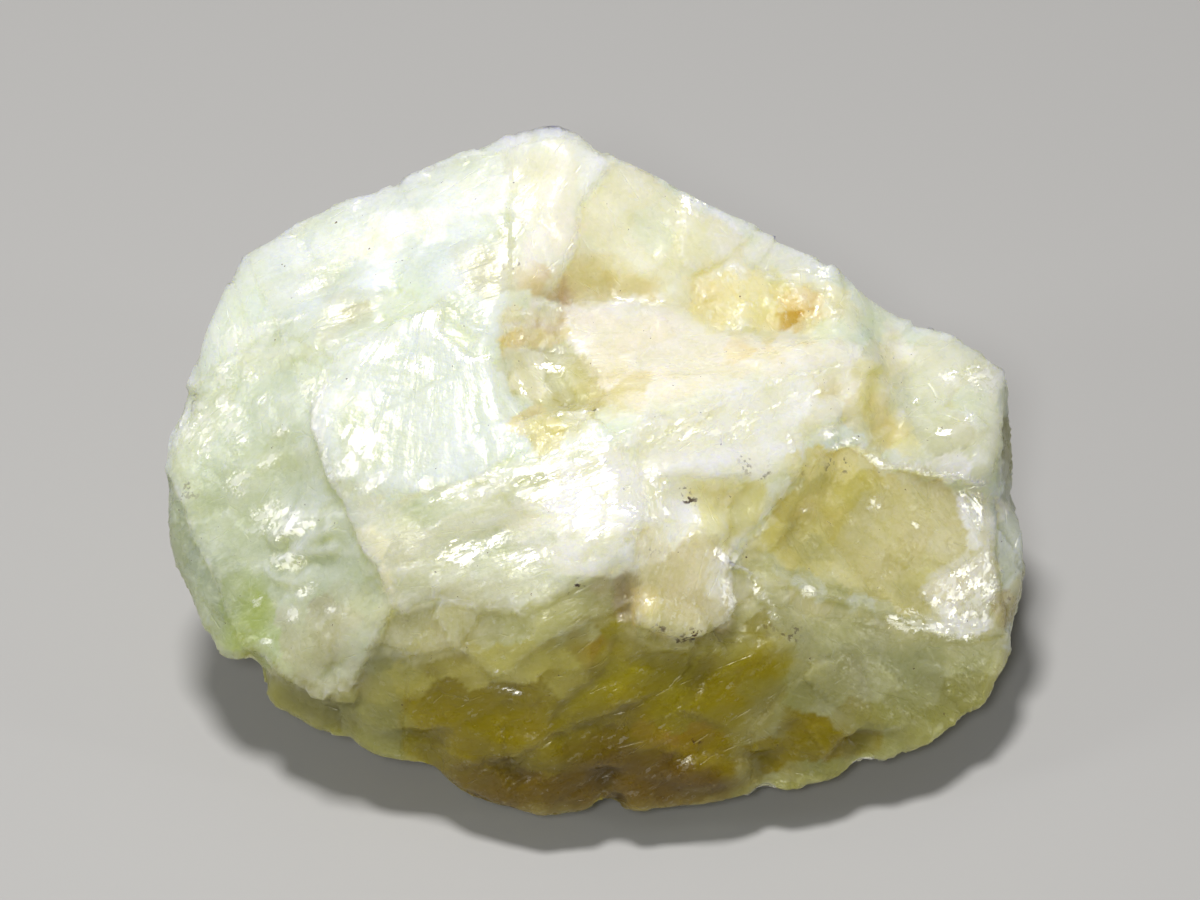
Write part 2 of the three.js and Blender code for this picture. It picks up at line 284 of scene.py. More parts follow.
COLOURS = {
    "sage": (0.60, 0.65, 0.43), "sage light": (0.76, 0.82, 0.66), "sage warm": (0.66, 0.70, 0.52),
    # The middle colour on the next line is painted light, for the top of the recess that the overhang above
    # shades.
    "sage low": (0.56, 0.55, 0.35), "recess painted light": (0.80, 0.72, 0.28), "olive light": (0.50, 0.45, 0.10),
    # The first colour on the next line is painted shade, for the narrow side face at the left.
    "shaded side green": (0.38, 0.43, 0.28), "lime": (0.40, 0.48, 0.13), "mint": (0.71, 0.76, 0.69),
    # The last colour on the next line is the crest's own pale tone; a few patches also use it as painted
    # light, to lift shade.
    "cream": (0.84, 0.82, 0.59), "pale cream": (0.87, 0.85, 0.74), "crest": (0.92, 0.91, 0.78),
    "rose": (0.88, 0.82, 0.66), "pale green": (0.72, 0.73, 0.54), "straw": (0.72, 0.62, 0.25),
    "amber": (0.80, 0.66, 0.28), "brown pale": (0.74, 0.60, 0.34), "brown": (0.62, 0.48, 0.24),
    "ochre": (0.60, 0.37, 0.01), "yellow": (0.90, 0.80, 0.38), "moss": (0.54, 0.50, 0.20),
    "facet": (0.88, 0.84, 0.55), "recess": (0.64, 0.59, 0.25), "facet deep": (0.76, 0.71, 0.29),
    "tongue": (0.46, 0.44, 0.26), "recess dark": (0.60, 0.53, 0.12), "knob": (0.74, 0.75, 0.55),
    # Low green, the middle colour on the next line, is partly the stone's own dark green and partly painted
    # shade where it darkens the low parts.
    "band": (0.44, 0.44, 0.19), "low green": (0.28, 0.27, 0.07), "layer yellow": (0.58, 0.55, 0.26),
    "layer green": (0.50, 0.49, 0.21), "low grey": (0.30, 0.28, 0.13), "olive": (0.31, 0.26, 0.004),
    # Olive deep and rim on the next line darken the stone towards its bottom edge: partly its own olive,
    # partly painted shade.
    "olive deep": (0.24, 0.185, 0.0), "rust": (0.30, 0.17, 0.0), "rim": (0.13, 0.075, 0),
    # The notch colour, last on the next line, is painted shade in the notches.
    "tooth": (0.72, 0.66, 0.38), "tooth pale": (0.60, 0.53, 0.26), "notch": (0.50, 0.42, 0.20),
    # Strip, first on the next line, is painted shade for the right side face; the two whites are mostly
    # painted highlight, the lamps' glare on the blown face, the crest and the dome.
    "strip": (0.50, 0.53, 0.42), "white": (0.95, 0.93, 0.77), "dome white": (0.93, 0.95, 0.85),
    "right green": (0.42, 0.42, 0.19),
}

# Layers of colour, laid one over the other: (face, softness of its rim, colour, strength).
FACE_COLOURS = [
    # The left side on the next line is painted darker: painted shade on the narrow side face.
    ("dome", 1.8, "mint", 1), ("left face", 0.9, "sage", 1), ("left side", 0.3, "shaded side green", 0.9),
    ("central", 0.8, "pale green", 1), ("plate", 0.5, "mint", 0.9), ("summit", 1.8, "pale cream", 1),
    ("slope", 0.2, "cream", 1), ("ledge", 0.9, "rose", 0.9), ("shelves", 0.4, "amber", 0.6),
    ("hollow", 0.5, "moss", 0.75), ("pocket", 0.8, "straw", 0.7), ("crumble", 0.8, "yellow", 0.85),
    ("amber corner", 0.5, "amber", 0.9), ("shoulder", 0.6, "sage light", 0.8),
    ("crest right", 0.7, "crest", 1), ("facets", 0.6, "facet", 0.9), ("facet left", 0.3, "facet deep", 0.8),
    ("facet right", 0.3, "facet deep", 1), ("recess", 0.7, "recess", 1),
    ("recess dark", 0.6, "recess dark", 0.9), ("knob", 0.4, "knob", 1),
    ("knob hollow", 0.6, "facet deep", 0.8), ("olive front", 1.4, "olive", 1),
    ("olive deep", 0.8, "olive deep", 0.8), ("lower right", 1.6, "right green", 1),
    ("grey patch", 0.9, "low grey", 0.4), ("rim band", 0.35, "band", 0.8),
    ("frost triangle", 0.25, "pale cream", 0.55), ("frost patch", 0.3, "pale cream", 1),
    # The bottom rim and the left low lobe are painted darker than the faces above them: partly their own
    # olive, partly painted shade low down under the stone.
    ("bottom rim", 2.4, "rim", 0.9), ("left low", 0.7, "low green", 1),
    ("green layer", 0.8, "layer green", 0.8), ("yellow layer", 1.0, "layer yellow", 0.8),
    # The notch on the next line is painted grey-brown: painted shade in the notch beside the tooth.
    ("tooth", 0.3, "tooth", 1), ("tooth face", 1.1, "tooth pale", 0.7), ("notch", 0.4, "notch", 0.9),
    # The strip is painted shade on the right side face, and the blown face is painted white: a painted
    # highlight of the key lamp's glare.
    ("strip", 0.25, "strip", 0.9), ("blown", 0.8, "white", 1),
]

# Softer patches laid over those: (across, up, half width, half height, turn, colour, strength).
SPOT_COLOURS = [
    # Left face and tongue.
    (-19.5, 3.6, 3.4, 3, 20, "sage light", 0.6), (-22.6, 1.4, 1.6, 2.6, 20, "sage light", 0.7),
    (-16.2, 7, 1.8, 1, 20, "sage", 0.6), (-16.4, -2.6, 1.6, 2.6, 20, "mint", 0.45),
    (-13.6, 1.8, 1.5, 2.4, 10, "sage", 0.6), (-19.6, -8.2, 1.8, 2.9, 20, "lime", 0.9),
    # The first patch on the next line is painted shade along the left side band.
    (-21.8, -5.4, 1.2, 3.4, 25, "shaded side green", 0.6), (-15, -8.6, 3, 2.4, 15, "sage low", 0.9),
    (-15.2, -11.2, 2.8, 1.5, -10, "tongue", 0.6), (-16.3, -9.6, 1.5, 2.2, 0, "tongue", 0.45),
    # The patch on the next line is painted shade under the left lobe.
    (-15.6, -13.3, 2.8, 1.1, -18, "low grey", 0.45),
    # Dome and summit.
    # The three dome white patches below are painted highlight, the lamps' broad glare on the dome, laid
    # over its pale frosty streaks.
    (-10, 14.1, 6.4, 1.7, 25, "dome white", 0.9), (-8, 16.4, 4, 1.1, 20, "mint", 0.5),
    (-14.4, 13.2, 2.4, 1.4, 25, "dome white", 0.6), (-19.4, 7, 2, 1.6, 40, "dome white", 0.35),
    (-13.8, 9.3, 2, 1.2, 20, "sage low", 0.9), (-11, 9.6, 2.4, 1.2, 20, "sage light", 0.8),
    (-6, 11.5, 2, 1.7, 15, "sage low", 0.8), (-8.4, 9, 1.8, 1, 10, "sage", 0.8),
    (-5, 13.8, 2.2, 1.2, 0, "sage warm", 0.4), (-3.5, 11.3, 1.2, 1.2, 0, "brown pale", 0.8),
    (-3.4, 10.8, 1, 0.8, 0, "brown", 0.5), (-1.6, 13.8, 1, 1.4, -20, "rose", 0.6),
    # Slope, pocket and crumble.
    (3.4, 14.4, 2.2, 1.6, 30, "sage light", 0.5), (9, 12.8, 4.2, 1.1, -33, "pale cream", 0.9),
    # The brown patch on the next line is partly the pocket's brownish amber and partly painted shadow in
    # its left corner.
    (-0.2, 10.9, 2.2, 0.9, 8, "straw", 0.4), (-1.7, 10.5, 1.2, 0.6, 25, "brown", 0.8),
    (6.9, 10.2, 1.5, 1.3, 0, "straw", 0.4), (1.2, 9.2, 4.2, 0.8, 0, "pale cream", 0.8),
    (11.3, 8.9, 2, 0.9, 20, "amber", 1), (12, 9.2, 1.7, 1, 30, "ochre", 1),
    (10, 7.8, 1.6, 0.5, 0, "pale cream", 1), (9, 6.8, 1.8, 0.7, -20, "amber", 0.6),
    (14.4, 9.2, 1.3, 0.9, -40, "facet", 0.7),
    # Shelves, hollow and ledge.
    (-3.6, 9.1, 1.5, 0.4, 0, "rose", 0.8), (-3.6, 8.7, 1.3, 0.3, 0, "brown", 0.8),
    (-4.3, 7.7, 1, 0.5, 0, "amber", 0.6), (-2.2, 7.6, 1, 0.5, 0, "moss", 0.7),
    (-3.6, 5.6, 0.9, 1.6, 30, "cream", 0.8), (-0.9, 4.2, 1.1, 1.5, -20, "moss", 0.8),
    (-3.2, 2.5, 1.3, 0.9, -40, "straw", 0.7), (-1.2, 2.2, 1.6, 0.7, 20, "crest", 0.8),
    (1.4, 4.6, 2.1, 1.1, 10, "straw", 0.7), (1.4, 4.6, 1.8, 0.9, 10, "moss", 0.4),
    # Crest and the faces under it.
    # The four white patches on the next two lines are painted highlight: the key lamp's glare on the blown
    # face and along the crest.
    (7, 2.6, 2.8, 1.3, 15, "white", 0.8), (4, -2.2, 2, 1.9, 0, "white", 1),
    (-3.2, -2.4, 2.6, 1.2, 15, "white", 0.7), (0, -4.4, 2.6, 0.8, 5, "white", 0.8),
    # The first patch on the next line is painted light: it lifts the shade on the face below the blown
    # face.
    (2.2, -4.6, 2.2, 0.9, 0, "crest", 0.9), (7.1, -6.4, 0.5, 2, 0, "crest", 0.8),
    (2, -7.6, 0.6, 1.2, 0, "amber", 0.5), (9.4, 0.4, 1.6, 0.8, 10, "crest", 0.6),
    (11.8, 2.4, 1.6, 0.7, 20, "facet", 0.6), (-12.1, -4.9, 2.6, 0.5, -62, "facet", 0.8),
    (-11, -4.2, 1.6, 1.6, -20, "sage low", 0.6), (-9, -1.8, 2.6, 1, 15, "sage", 0.7),
    (-6.2, -4.4, 1.8, 1, 10, "sage", 0.45), (-7, -6.7, 4.6, 0.8, 4, "sage low", 0.5),
    (-10.8, -8.7, 2, 0.8, 0, "sage low", 0.4), (-8.4, -8.8, 1.6, 0.8, 0, "layer yellow", 0.5),
    (-1, -8.8, 1.4, 0.8, 10, "layer green", 0.7),
    # Knob.
    # The first patch on the next line is painted light: it lifts the shade at the top of the knob hollow.
    (17.2, 6.8, 1.6, 0.9, -30, "white", 1), (14.5, 4.4, 1.2, 2, -8, "straw", 0.6),
    (16.6, 3, 1.1, 2, -8, "straw", 0.5), (17.3, 5.2, 0.9, 1.2, 0, "facet", 0.6),
    (20.4, 2, 3, 0.9, -5, "sage low", 0.6), (21.8, 4, 1.6, 1.4, 0, "sage light", 0.5),
    # The first patch on the next line is painted light: it lifts the shade under the knob's ledge.
    (20, 0.1, 3, 0.4, -7, "crest", 0.9), (24.2, 1.4, 0.5, 2.4, 0, "low green", 0.8),
    # The patch on the next line is painted shade in the notch at the strip's lower end.
    (24.2, -7.6, 0.8, 1.3, -20, "notch", 0.7),
    # Recess and its rim.
    # The two patches on the next line are painted light: they lift the shade that the overhang casts on the
    # recess top.
    (13.4, 0.5, 2.2, 0.7, -5, "recess painted light", 0.9), (13.2, -1.9, 1.8, 1, 0, "recess painted light", 0.5),
    (12.6, -4.5, 2.4, 1.2, 0, "moss", 0.95), (11.9, -4.5, 1.6, 1, 0, "olive light", 0.5),
    (15, -4.4, 1.6, 1.6, 0, "moss", 0.7), (17.2, -6.8, 2, 0.8, -10, "moss", 0.6),
    (19.4, -3.2, 2.6, 2.6, 0, "tooth", 0.5), (22.3, -3, 1, 2.2, 0, "white", 0.9),
    # The first patch on the next line whitens the sparkling rim: partly its frost, partly painted highlight
    # for its glints.
    (21, -9, 2.2, 0.7, -8, "crest", 0.9), (13.4, -7, 4.2, 0.35, -24, "mint", 0.4),
    # Lower front. Its olive deep, rim and low green patches darken it towards the bottom edge: partly its
    # own olive, partly painted shade.
    (-6, -11, 7, 1.3, 6, "olive light", 0.9), (-6.4, -14, 4.5, 1.9, -8, "olive deep", 0.7),
    (7, -12.6, 4.6, 2.2, 14, "olive deep", 0.6), (0.2, -9.8, 1.1, 1.1, 20, "rust", 0.5),
    (4.2, -8.8, 1.6, 0.6, -10, "moss", 0.6), (5.6, -15, 2.8, 1.1, 0, "rust", 0.8),
    (-3.6, -15.6, 2.4, 0.9, 0, "olive deep", 0.7), (5.4, -17.8, 3, 1.1, 0, "rim", 0.9),
    (6.6, -15.7, 1.6, 0.9, 0, "olive deep", 0.5), (9.2, -13.2, 2, 1.4, 20, "olive deep", 0.6),
    (-1.4, -11.2, 1.4, 1, 30, "olive light", 0.6), (8.6, -11.4, 2.8, 1.6, 30, "olive deep", 0.7),
    (9.2, -8.7, 1.8, 0.6, -5, "olive", 0.6), (0, -17.4, 8, 1.2, 2, "rim", 0.7),
    (5.6, -18, 3.6, 0.9, 4, "rim", 0.8), (18.6, -14, 6.6, 2, 16, "low green", 1),
    (13, -17.4, 5, 1.2, 12, "low green", 1), (14, -15.8, 2.6, 1, 14, "olive deep", 0.9),
    (11.6, -12.2, 2.4, 2.2, 30, "low green", 0.75), (11.4, -15.4, 4.6, 1.5, 10, "olive deep", 1),
]

# Places where the surface is frosted with small glinting facets, whose glints are also painted white as
# painted highlight:
# (across, up, half width, half height, turn, strength).
FROST = [
    (-17.8, -2.9, 2.2, 0.8, 20, 0.8), (-20.6, 2.8, 1.6, 1.4, 30, 0.7), (-22.6, 2.8, 1, 2, 20, 0.7),
    (-13.2, 1.4, 1.6, 2, 20, 0.7), (-20.2, -1, 0.5, 0.3, 0, 0.9), (-20.8, 7.6, 1, 1.6, -30, 0.7),
    (-6.6, -0.7, 3, 0.8, 14, 0.8), (-2.4, -0.8, 2.6, 1.4, 10, 0.8), (7.4, 2.6, 2.2, 0.9, 18, 0.8),
    (20.6, -9.1, 2.2, 0.7, -8, 0.8), (18.4, -8.2, 1.4, 0.4, -15, 0.6), (13.6, -7, 4, 0.2, -22, 0.35),
    (12.1, -6.7, 0.6, 0.5, 0, 1), (16, -1.7, 0.6, 0.6, 0, 0.8), (12, -2.2, 0.5, 0.35, 0, 0.7),
    (16.6, -5.7, 0.3, 0.8, -40, 0.7), (18.4, -3, 0.4, 0.3, 0, 0.7), (13.6, -5.6, 0.5, 0.3, 0, 0.5),
    (22.4, 5.4, 1.3, 1.2, 0, 1), (20.6, 5.4, 1, 0.6, -20, 1), (20, 2.4, 0.9, 0.35, 0, 0.8),
    (21.6, 3, 0.8, 0.4, 30, 0.7), (14.9, 1.5, 1, 0.35, -40, 1), (18, 0.3, 2.2, 0.25, -8, 1),
    (21.4, -0.5, 1.8, 0.25, -14, 0.9), (13.4, 2.2, 0.8, 0.5, 30, 0.9), (18.6, 4.2, 0.6, 0.3, 0, 0.6),
    (11.2, 1.6, 0.3, 0.8, 20, 0.8), (11.4, 4.2, 2.4, 0.3, 20, 0.9), (8, 3.1, 2.6, 0.3, 14, 0.9),
    (5.6, 15.2, 1.2, 0.7, -40, 1), (2.2, 16.6, 2, 0.5, -28, 0.6), (8.6, 13.8, 2.4, 0.4, -28, 0.5),
    (-9.4, -0.6, 0.9, 0.5, 10, 1), (-6.6, -0.4, 2.4, 0.4, 17, 1), (-2, 0.5, 1.8, 0.4, 15, 1),
    (-8.2, -1.3, 1.6, 0.3, 20, 0.9), (-13.9, 0.3, 1.6, 0.9, 30, 0.9), (-12.4, -0.6, 1.1, 0.5, 30, 1),
    (-0.2, -0.8, 2.4, 1.8, 0, 1), (4.6, 2.2, 2.6, 1.1, 20, 1), (-7.4, -4.5, 1.8, 0.9, 10, 1),
    (-5.4, -3.8, 1.1, 0.5, 30, 0.9), (-3.6, -4.6, 1.8, 0.5, 12, 1), (-9, -3, 0.8, 0.4, 20, 0.6),
    (-21.3, 3.9, 0.6, 0.6, 30, 1), (-20.1, 3.3, 0.5, 0.6, 20, 1), (-20.2, 1.8, 0.6, 0.4, 0, 1),
    (-18.7, 4.3, 0.7, 0.4, 30, 0.9), (-20.4, -0.4, 1, 0.6, 30, 0.9), (-18.6, 0.6, 1, 0.5, 20, 0.7),
    (-23.6, 2.6, 0.6, 1.2, 20, 0.8), (-22.4, 1.2, 0.8, 0.8, 20, 0.8), (-21.2, 5.6, 0.8, 1.2, 30, 0.8),
    (-19.6, 5.6, 0.7, 0.4, 30, 0.9), (-18, 2.4, 1, 0.4, 20, 0.8),
    (-16.2, 4.6, 0.9, 0.8, 40, 0.9), (-15.4, 2.6, 0.7, 1, 0, 0.8), (-18.6, 8.2, 2.2, 0.3, 14, 0.5),
    (11.6, 3.4, 2.4, 0.8, 15, 0.4), (-15.4, 11.6, 2, 0.5, 20, 0.6), (-16.4, 10.6, 1.4, 0.5, 20, 0.5),
    (9, 1.8, 3.2, 1.2, 15, 0.4), (-12.6, 14.2, 3.4, 0.6, 18, 0.25), (-9.6, 14.6, 4, 1, 22, 0.25),
    (-14.6, 12.8, 3, 0.6, 20, 0.25), (-9.6, 8.6, 1.2, 0.6, 20, 0.9), (-12.2, 6.8, 1.6, 0.8, 20, 0.8),
    (-9.8, 6, 1.2, 1, 0, 0.6), (-18.4, -2.4, 1.4, 0.4, 15, 1), (-17, -3.3, 1.6, 0.4, 18, 1),
    (-17.4, -4.8, 1.2, 0.4, -10, 1), (-16.6, -6.6, 0.9, 0.5, 20, 0.8), (-14.8, -7.8, 1.1, 0.4, -15, 0.6),
    (-17.2, -8, 0.6, 0.6, 30, 0.7), (-19.4, -7.4, 0.5, 0.6, 0, 0.7), (-18.6, -9.6, 0.5, 0.3, 0, 0.7),
    (-11.8, -8.4, 0.6, 0.4, 0, 0.5), (7.4, -6.6, 0.35, 1.8, 0, 1), (7.1, -4.6, 0.8, 0.35, -40, 1),
    (-5.6, 14.6, 0.8, 2, 0, 0.3), (9.8, 0.9, 0.9, 0.4, 20, 0.5), (-4.2, 8.9, 1, 0.3, 10, 0.9),
    (-4.2, 5.2, 0.4, 1.6, 30, 0.5), (-2.6, 6, 1.4, 0.3, -20, 0.9), (-8.4, -9.4, 1.4, 0.3, 5, 0.4),
    (-5.2, -11, 1.2, 0.3, 0, 0.5), (8.9, -6.4, 0.25, 1.2, 30, 0.8), (9.8, -7.2, 0.25, 1.6, 30, 0.6),
    (-4.6, -12.2, 1.2, 0.3, -5, 0.7), (7.6, 11.4, 1.6, 0.9, 10, 0.6), (9.2, 9.6, 0.4, 0.4, 0, 1),
    (12.6, 11.6, 1, 0.6, -30, 0.6), (-2.4, 9.6, 1.2, 0.3, -10, 0.8), (2.6, 9.9, 2.4, 0.4, -6, 0.7),
    (-2, 3.4, 0.4, 1.4, -40, 0.4), (10, -8.2, 0.8, 0.5, 20, 0.6), (2.2, -10.4, 1.2, 0.3, 30, 0.4),
]

# Lines that are frosted along their length: (line, half width, strength).
FROST_LINES = [
    ([(-19.7, -2.6), (-18.1, -2), (-17, -2.2)], 0.5, 1),
    ([(-18.4, -3.7), (-17, -3.2), (-15.6, -2.6)], 0.35, 1),
    ([(-18.5, -4.6), (-17.7, -5.1), (-16.7, -5.2), (-16.3, -4.7)], 0.35, 1),
    ([(12.4, 1), (14.4, 1.6), (16.3, 0.4), (17.8, 0.3), (20.2, -0.2), (22.9, -1)], 0.25, 0.9),
    ([(-9.7, 9.1), (-8.5, 7.5), (-7.5, 6.3), (-5.4, 6.5)], 0.16, 0.9),
    ([(6.6, -3.9), (7.9, -4.9), (7.1, -5.7), (7.9, -7.4), (7.7, -8.4)], 0.3, 1),
    ([(-19.7, 8.3), (-16.2, 9)], 0.14, 0.9),
    ([(-15.2, 6.2), (-15.7, 2.4), (-14.8, -0.1)], 0.3, 0.8),
    ([(-17, 11.2), (-14.8, 11.6), (-13.4, 12.2)], 0.4, 0.6),
    ([(3.4, 2.6), (8.2, 4.3), (11.7, 5.5), (15.4, 6.6)], 0.2, 0.7),
    ([(-6.9, -0.9), (-4.1, 0.2), (-1.9, 1), (1.5, 1.8), (4.8, 3.2)], 0.5, 0.8),
    ([(16.3, -8.2), (18.6, -8.9), (21.4, -9.6)], 0.35, 0.9),
]

# Places where brown grime has settled: (across, up, half width, half height, turn, strength).
GRIME = [
    (-4.4, 14.4, 0.35, 0.35, 0, 1), (-4.6, 11.8, 0.25, 0.9, 0, 1), (-1, -6.3, 0.6, 0.35, 20, 1),
    (2.3, -6.6, 0.25, 1.4, 0, 1), (5.8, -9.4, 1.4, 0.2, 8, 1), (3.8, -8.9, 0.8, 0.2, -20, 0.8),
    (11.2, -9, 1.4, 0.25, 0, 0.6), (14.4, 0.2, 1.2, 0.3, -20, 0.8), (11.6, 0.2, 0.4, 0.4, 0, 0.8),
    (5, -1.4, 0.3, 0.7, 0, 0.9), (9.8, -0.4, 0.3, 0.8, 0, 0.8), (8.4, 0.4, 0.5, 0.3, 0, 0.7),
    (-11.7, -8.8, 1.2, 0.3, 30, 0.8), (-3.8, -13.8, 0.6, 0.25, 0, 0.9), (24.3, -7.4, 0.4, 0.7, -20, 1),
    (-23.4, -1.6, 0.3, 1.4, -25, 0.4), (9.4, -8.6, 1, 0.4, 0, 0.5), (5.6, -15, 0.6, 0.3, 0, 0.8),
    (6.8, -4.8, 0.3, 0.3, 0, 0.7), (3.2, -4.4, 0.3, 0.4, 0, 0.8),
]

# Faces that are nearly flat, each with how much of its relief is pared away.
FLAT_FACES = {
    "plate": 0.6, "tooth": 0.95, "hollow": 0.45, "shelves": 0.5, "ledge": 0.4, "facet left": 0.5,
    "facet right": 0.5, "frost triangle": 0.3,
}

# Faces whose surface is nearly smooth, faces that are rubbly and faces that are frosted all over,
# each with a strength.
SMOOTH_FACES = {
    "slope": 0.8, "left face": 0.5, "dome": 0.6, "olive front": 0.85, "recess": 0.6, "knob": 0.4,
    "summit": 0.7, "plate": 0.6, "tooth": 0.7, "central": 0.3, "ledge": 0.4, "crest right": 0.4,
    "hollow": 0.3, "lower right": 0.3, "facets": 0.5,
}
RUBBLY_FACES = {"crumble": 1, "amber corner": 0.7, "hollow": 0.25, "ledge": 0.2, "shelves": 0.3}
FROSTED_FACES = {
    "frost triangle": 0.8, "frost patch": 0.8, "blown": 0.75, "crumble": 0.35, "hollow": 0.15,
    "green layer": 0.25, "yellow layer": 0.25, "olive front": 0.17, "tooth": 0.35, "central": 0.3,
    "lower right": 0.14, "plate": 0.2, "recess": 0.14, "ledge": 0.25, "slope": 0.08, "knob": 0.1,
    "left face": 0.1, "shelves": 0.4,
}

# The ways in which glinting facets face: the stone cleaves along these.
FACET_WAYS = [(-0.055, -0.41, 0.91), (-0.03, -0.72, 0.69), (-0.51, -0.59, 0.63), (0.53, -0.62, 0.58)]

# The way each face's grain runs, in degrees up from across. The plate's grain fans out instead.
FACE_GRAIN = {
    "left face": 26, "dome": 22, "summit": 62, "slope": -38, "ledge": 12, "crumble": -50,
    "central": 20, "crest right": 20, "facets": -60, "recess": -35, "knob": 30, "hollow": -52,
    "olive front": 28, "lower right": -25, "green layer": 15, "tooth": 70, "rim band": -17,
    "frost triangle": 38, "left low": -20, "strip": 80, "pocket": -40,
}
PLATE_FAN_MIDDLE = (-8.7, 13.0)
PLATE_FAN_WIDTH = 9.0

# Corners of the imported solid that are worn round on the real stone:
# (across, up, half width, half height, turn in degrees, strength).
WORN_CORNERS = [
    (-3, 18.6, 4.4, 1.4, 0, 1), (15.8, 4, 2, 3, 0, 1), (4.6, -4.2, 3.2, 1.6, 0, 0.7),
    (19.8, 0.2, 3.8, 1.3, -6, 1), (24.2, 0, 1.6, 3, 0, 0.8), (-4.8, 12, 2.4, 6, 0, 1),
    (0, 4.6, 4, 3, 0, 0.6), (-23.6, 5, 2, 3, 0, 1), (-25, 0, 1.6, 2, 0, 1), (0, 10.6, 2.4, 1.6, 0, 0.7),
    (24.4, -8, 1.6, 3, 0, 0.8), (-4.4, 5, 2, 3, 0, 1), (-1.6, 3.4, 2, 2, 0, 1),
    (-2.2, 2.2, 1.8, 1.1, 15, 1), (11.4, 10.2, 2, 1.6, 0, 0.8), (-16.4, -0.6, 2.6, 4, 0, 1),
    (9, 12.6, 6, 1.3, -33, 0.8),
]


# ---- Relief, all in millimetres -----------------------------------------------------------------

# Layers of flat facets, from large to small: (size of the warp, amount and seed of the warp,
# facet size, seed).
BIG_FACETS = (4.0, 0.8, 11, 6.5, 21)
SHARDS = (2.0, 0.3, 51, 2.6, 52)
CHIPS = (1.4, 0.3, 61, 1.9, 62)
SCARS = (0.9, 0.2, 55, 1.1, 56)
GRIT = (0.8, 0.2, 71, 0.9, 72)

# How much facets are squeezed along the grain, so that they come out long that way.
SHARD_SQUEEZE = 0.6
SCAR_SQUEEZE = 0.65
FINE_SQUEEZE = 0.82

# Heights of the smooth layers of relief, and how many rounds of smoothing wear a corner.
BROAD_RELIEF = 0.22
SHELL_RELIEF = 0.05
PLATE_LINE_RELIEF = 0.035
WEAR_ROUNDS = 54


# ---- The stone's shader, lights and floor -------------------------------------------------------

STONE_SHADER = {
    "IOR": 1.64,
    "Specular IOR Level": 0.4,
    "Specular Tint": (1.0, 0.97, 0.8, 1),
    "Subsurface Weight": 1.0,
    "Subsurface Radius": (1.0, 0.95, 0.5),
    "Subsurface Scale": 0.005,
}
VEIL_WHITE = (0.97, 0.98, 0.95, 1)
# White of the frost's crushed grains, also painted on the glinting facets as painted highlight.
FROST_AND_GLINT_WHITE = (0.97, 0.97, 0.88, 1)
DIRT_BROWN = (0.06, 0.018, 0.002, 1)

# How far the clouds darken and lighten each channel of the stone's colour.
CLOUD_SHADES = {"Red": (0.89, 1.07), "Green": (0.91, 1.06), "Blue": (0.80, 1.14)}

# Glinting facets, in millimetres, and how far each leans its own way.
GLINT_SIZE = 0.36
SPARKLE_SIZE = 0.15
GLINT_WOBBLE = 0.1

# The studio, in metres. Each round lamp is (place, width, power, colour).
LAMPS = {
    "key": ((-0.05, 0.0, 0.43), 0.09, 1.45, (1.0, 0.985, 0.985)),
    "front": ((-0.03, -0.30, 0.30), 0.06, 0.48, (0.97, 0.98, 1.0)),
    "left": ((-0.38, -0.12, 0.18), 0.08, 0.20, (0.96, 0.98, 1.0)),
    "right": ((0.38, -0.13, 0.13), 0.04, 0.11, (0.97, 0.98, 1.0)),
}
LAMPS_AIM = Vector((0, 0, 0.012))
SKY_COLOUR = (0.87, 0.87, 0.87, 1)
SKY_STRENGTH = 0.10
FLOOR_HALF_SIDE = 1.5
FLOOR_COLOUR = (0.47, 0.465, 0.45, 1)
FLOOR_ROUGHNESS = 0.7


# ---- Noise, all in millimetres ------------------------------------------------------------------

HASH_PRIMES = np.array([73856093, 19349663, 83492791])


def lattice(cells, seed):
    """A fixed random number from 0 to 1 for each whole-number cell."""
    mixed = (cells * HASH_PRIMES).sum(-1) + seed * 7919
    mixed = (mixed ^ (mixed >> 13)) * 1274126177
    mixed = mixed ^ (mixed >> 16)
    return (mixed & 0xFFFFFF) / 0xFFFFFF


def smoothstep(low, high, value):
    t = np.clip((value - low) / (high - low), 0, 1)
    return t * t * (3 - 2 * t)


def noise(points, size, seed):
    """Smooth noise from -1 to 1 that changes over about size."""
    scaled = points / size
    base = np.floor(scaled).astype(np.int64)
    part = smoothstep(0, 1, scaled - base)
    total = np.zeros(len(points))
    for corner in itertools.product((0, 1), repeat=3):
        weight = np.prod(np.where(corner, part, 1 - part), axis=-1)
        total += weight * lattice(base + corner, seed)
    return 2 * total - 1


def fractal(points, size, seed, octaves=4, rough=0.5):
    """Noise in several octaves, each half the size of the last."""
    return sum(rough**k * noise(points, size / 2**k, seed + k) for k in range(octaves))


def warped(points, size, amount, seed):
    """Points moved about by noise, so that straight patterns built on them wander."""
    moves = [noise(points, size, seed + k) for k in range(3)]
    return points + amount * np.stack(moves, axis=-1)


def nearest_cell(points, size, seed):
    """For each point, the offset from the nearest of the scattered cell centres, in units of
    size, and that cell's own whole-number place."""
    scaled = points / size
    base = np.floor(scaled).astype(np.int64)
    distance = np.full(len(points), 9.0)
    offset = np.zeros_like(points)
    place = np.zeros_like(base)
    for step in itertools.product((-1, 0, 1), repeat=3):
        cell = base + step
        centre = cell + np.stack([lattice(cell, seed + k) for k in range(3)], axis=-1)
        gap = scaled - centre
        square = (gap**2).sum(-1)
        nearer = square < distance
        distance = np.where(nearer, square, distance)
        offset = np.where(nearer[:, None], gap, offset)
        place = np.where(nearer[:, None], cell, place)
    return offset, place


def facet_cells(points, layer):
    """What nearest_cell says about the facets of a layer."""
    warp_size, amount, warp_seed, size, seed = layer
    return nearest_cell(warped(points, warp_size, amount, warp_seed), size, seed)


def tilts(place, seed):
    """A way for each cell to lean, as three numbers from -1 to 1."""
    return np.stack([2 * lattice(place, seed + k) - 1 for k in range(3)], axis=-1)


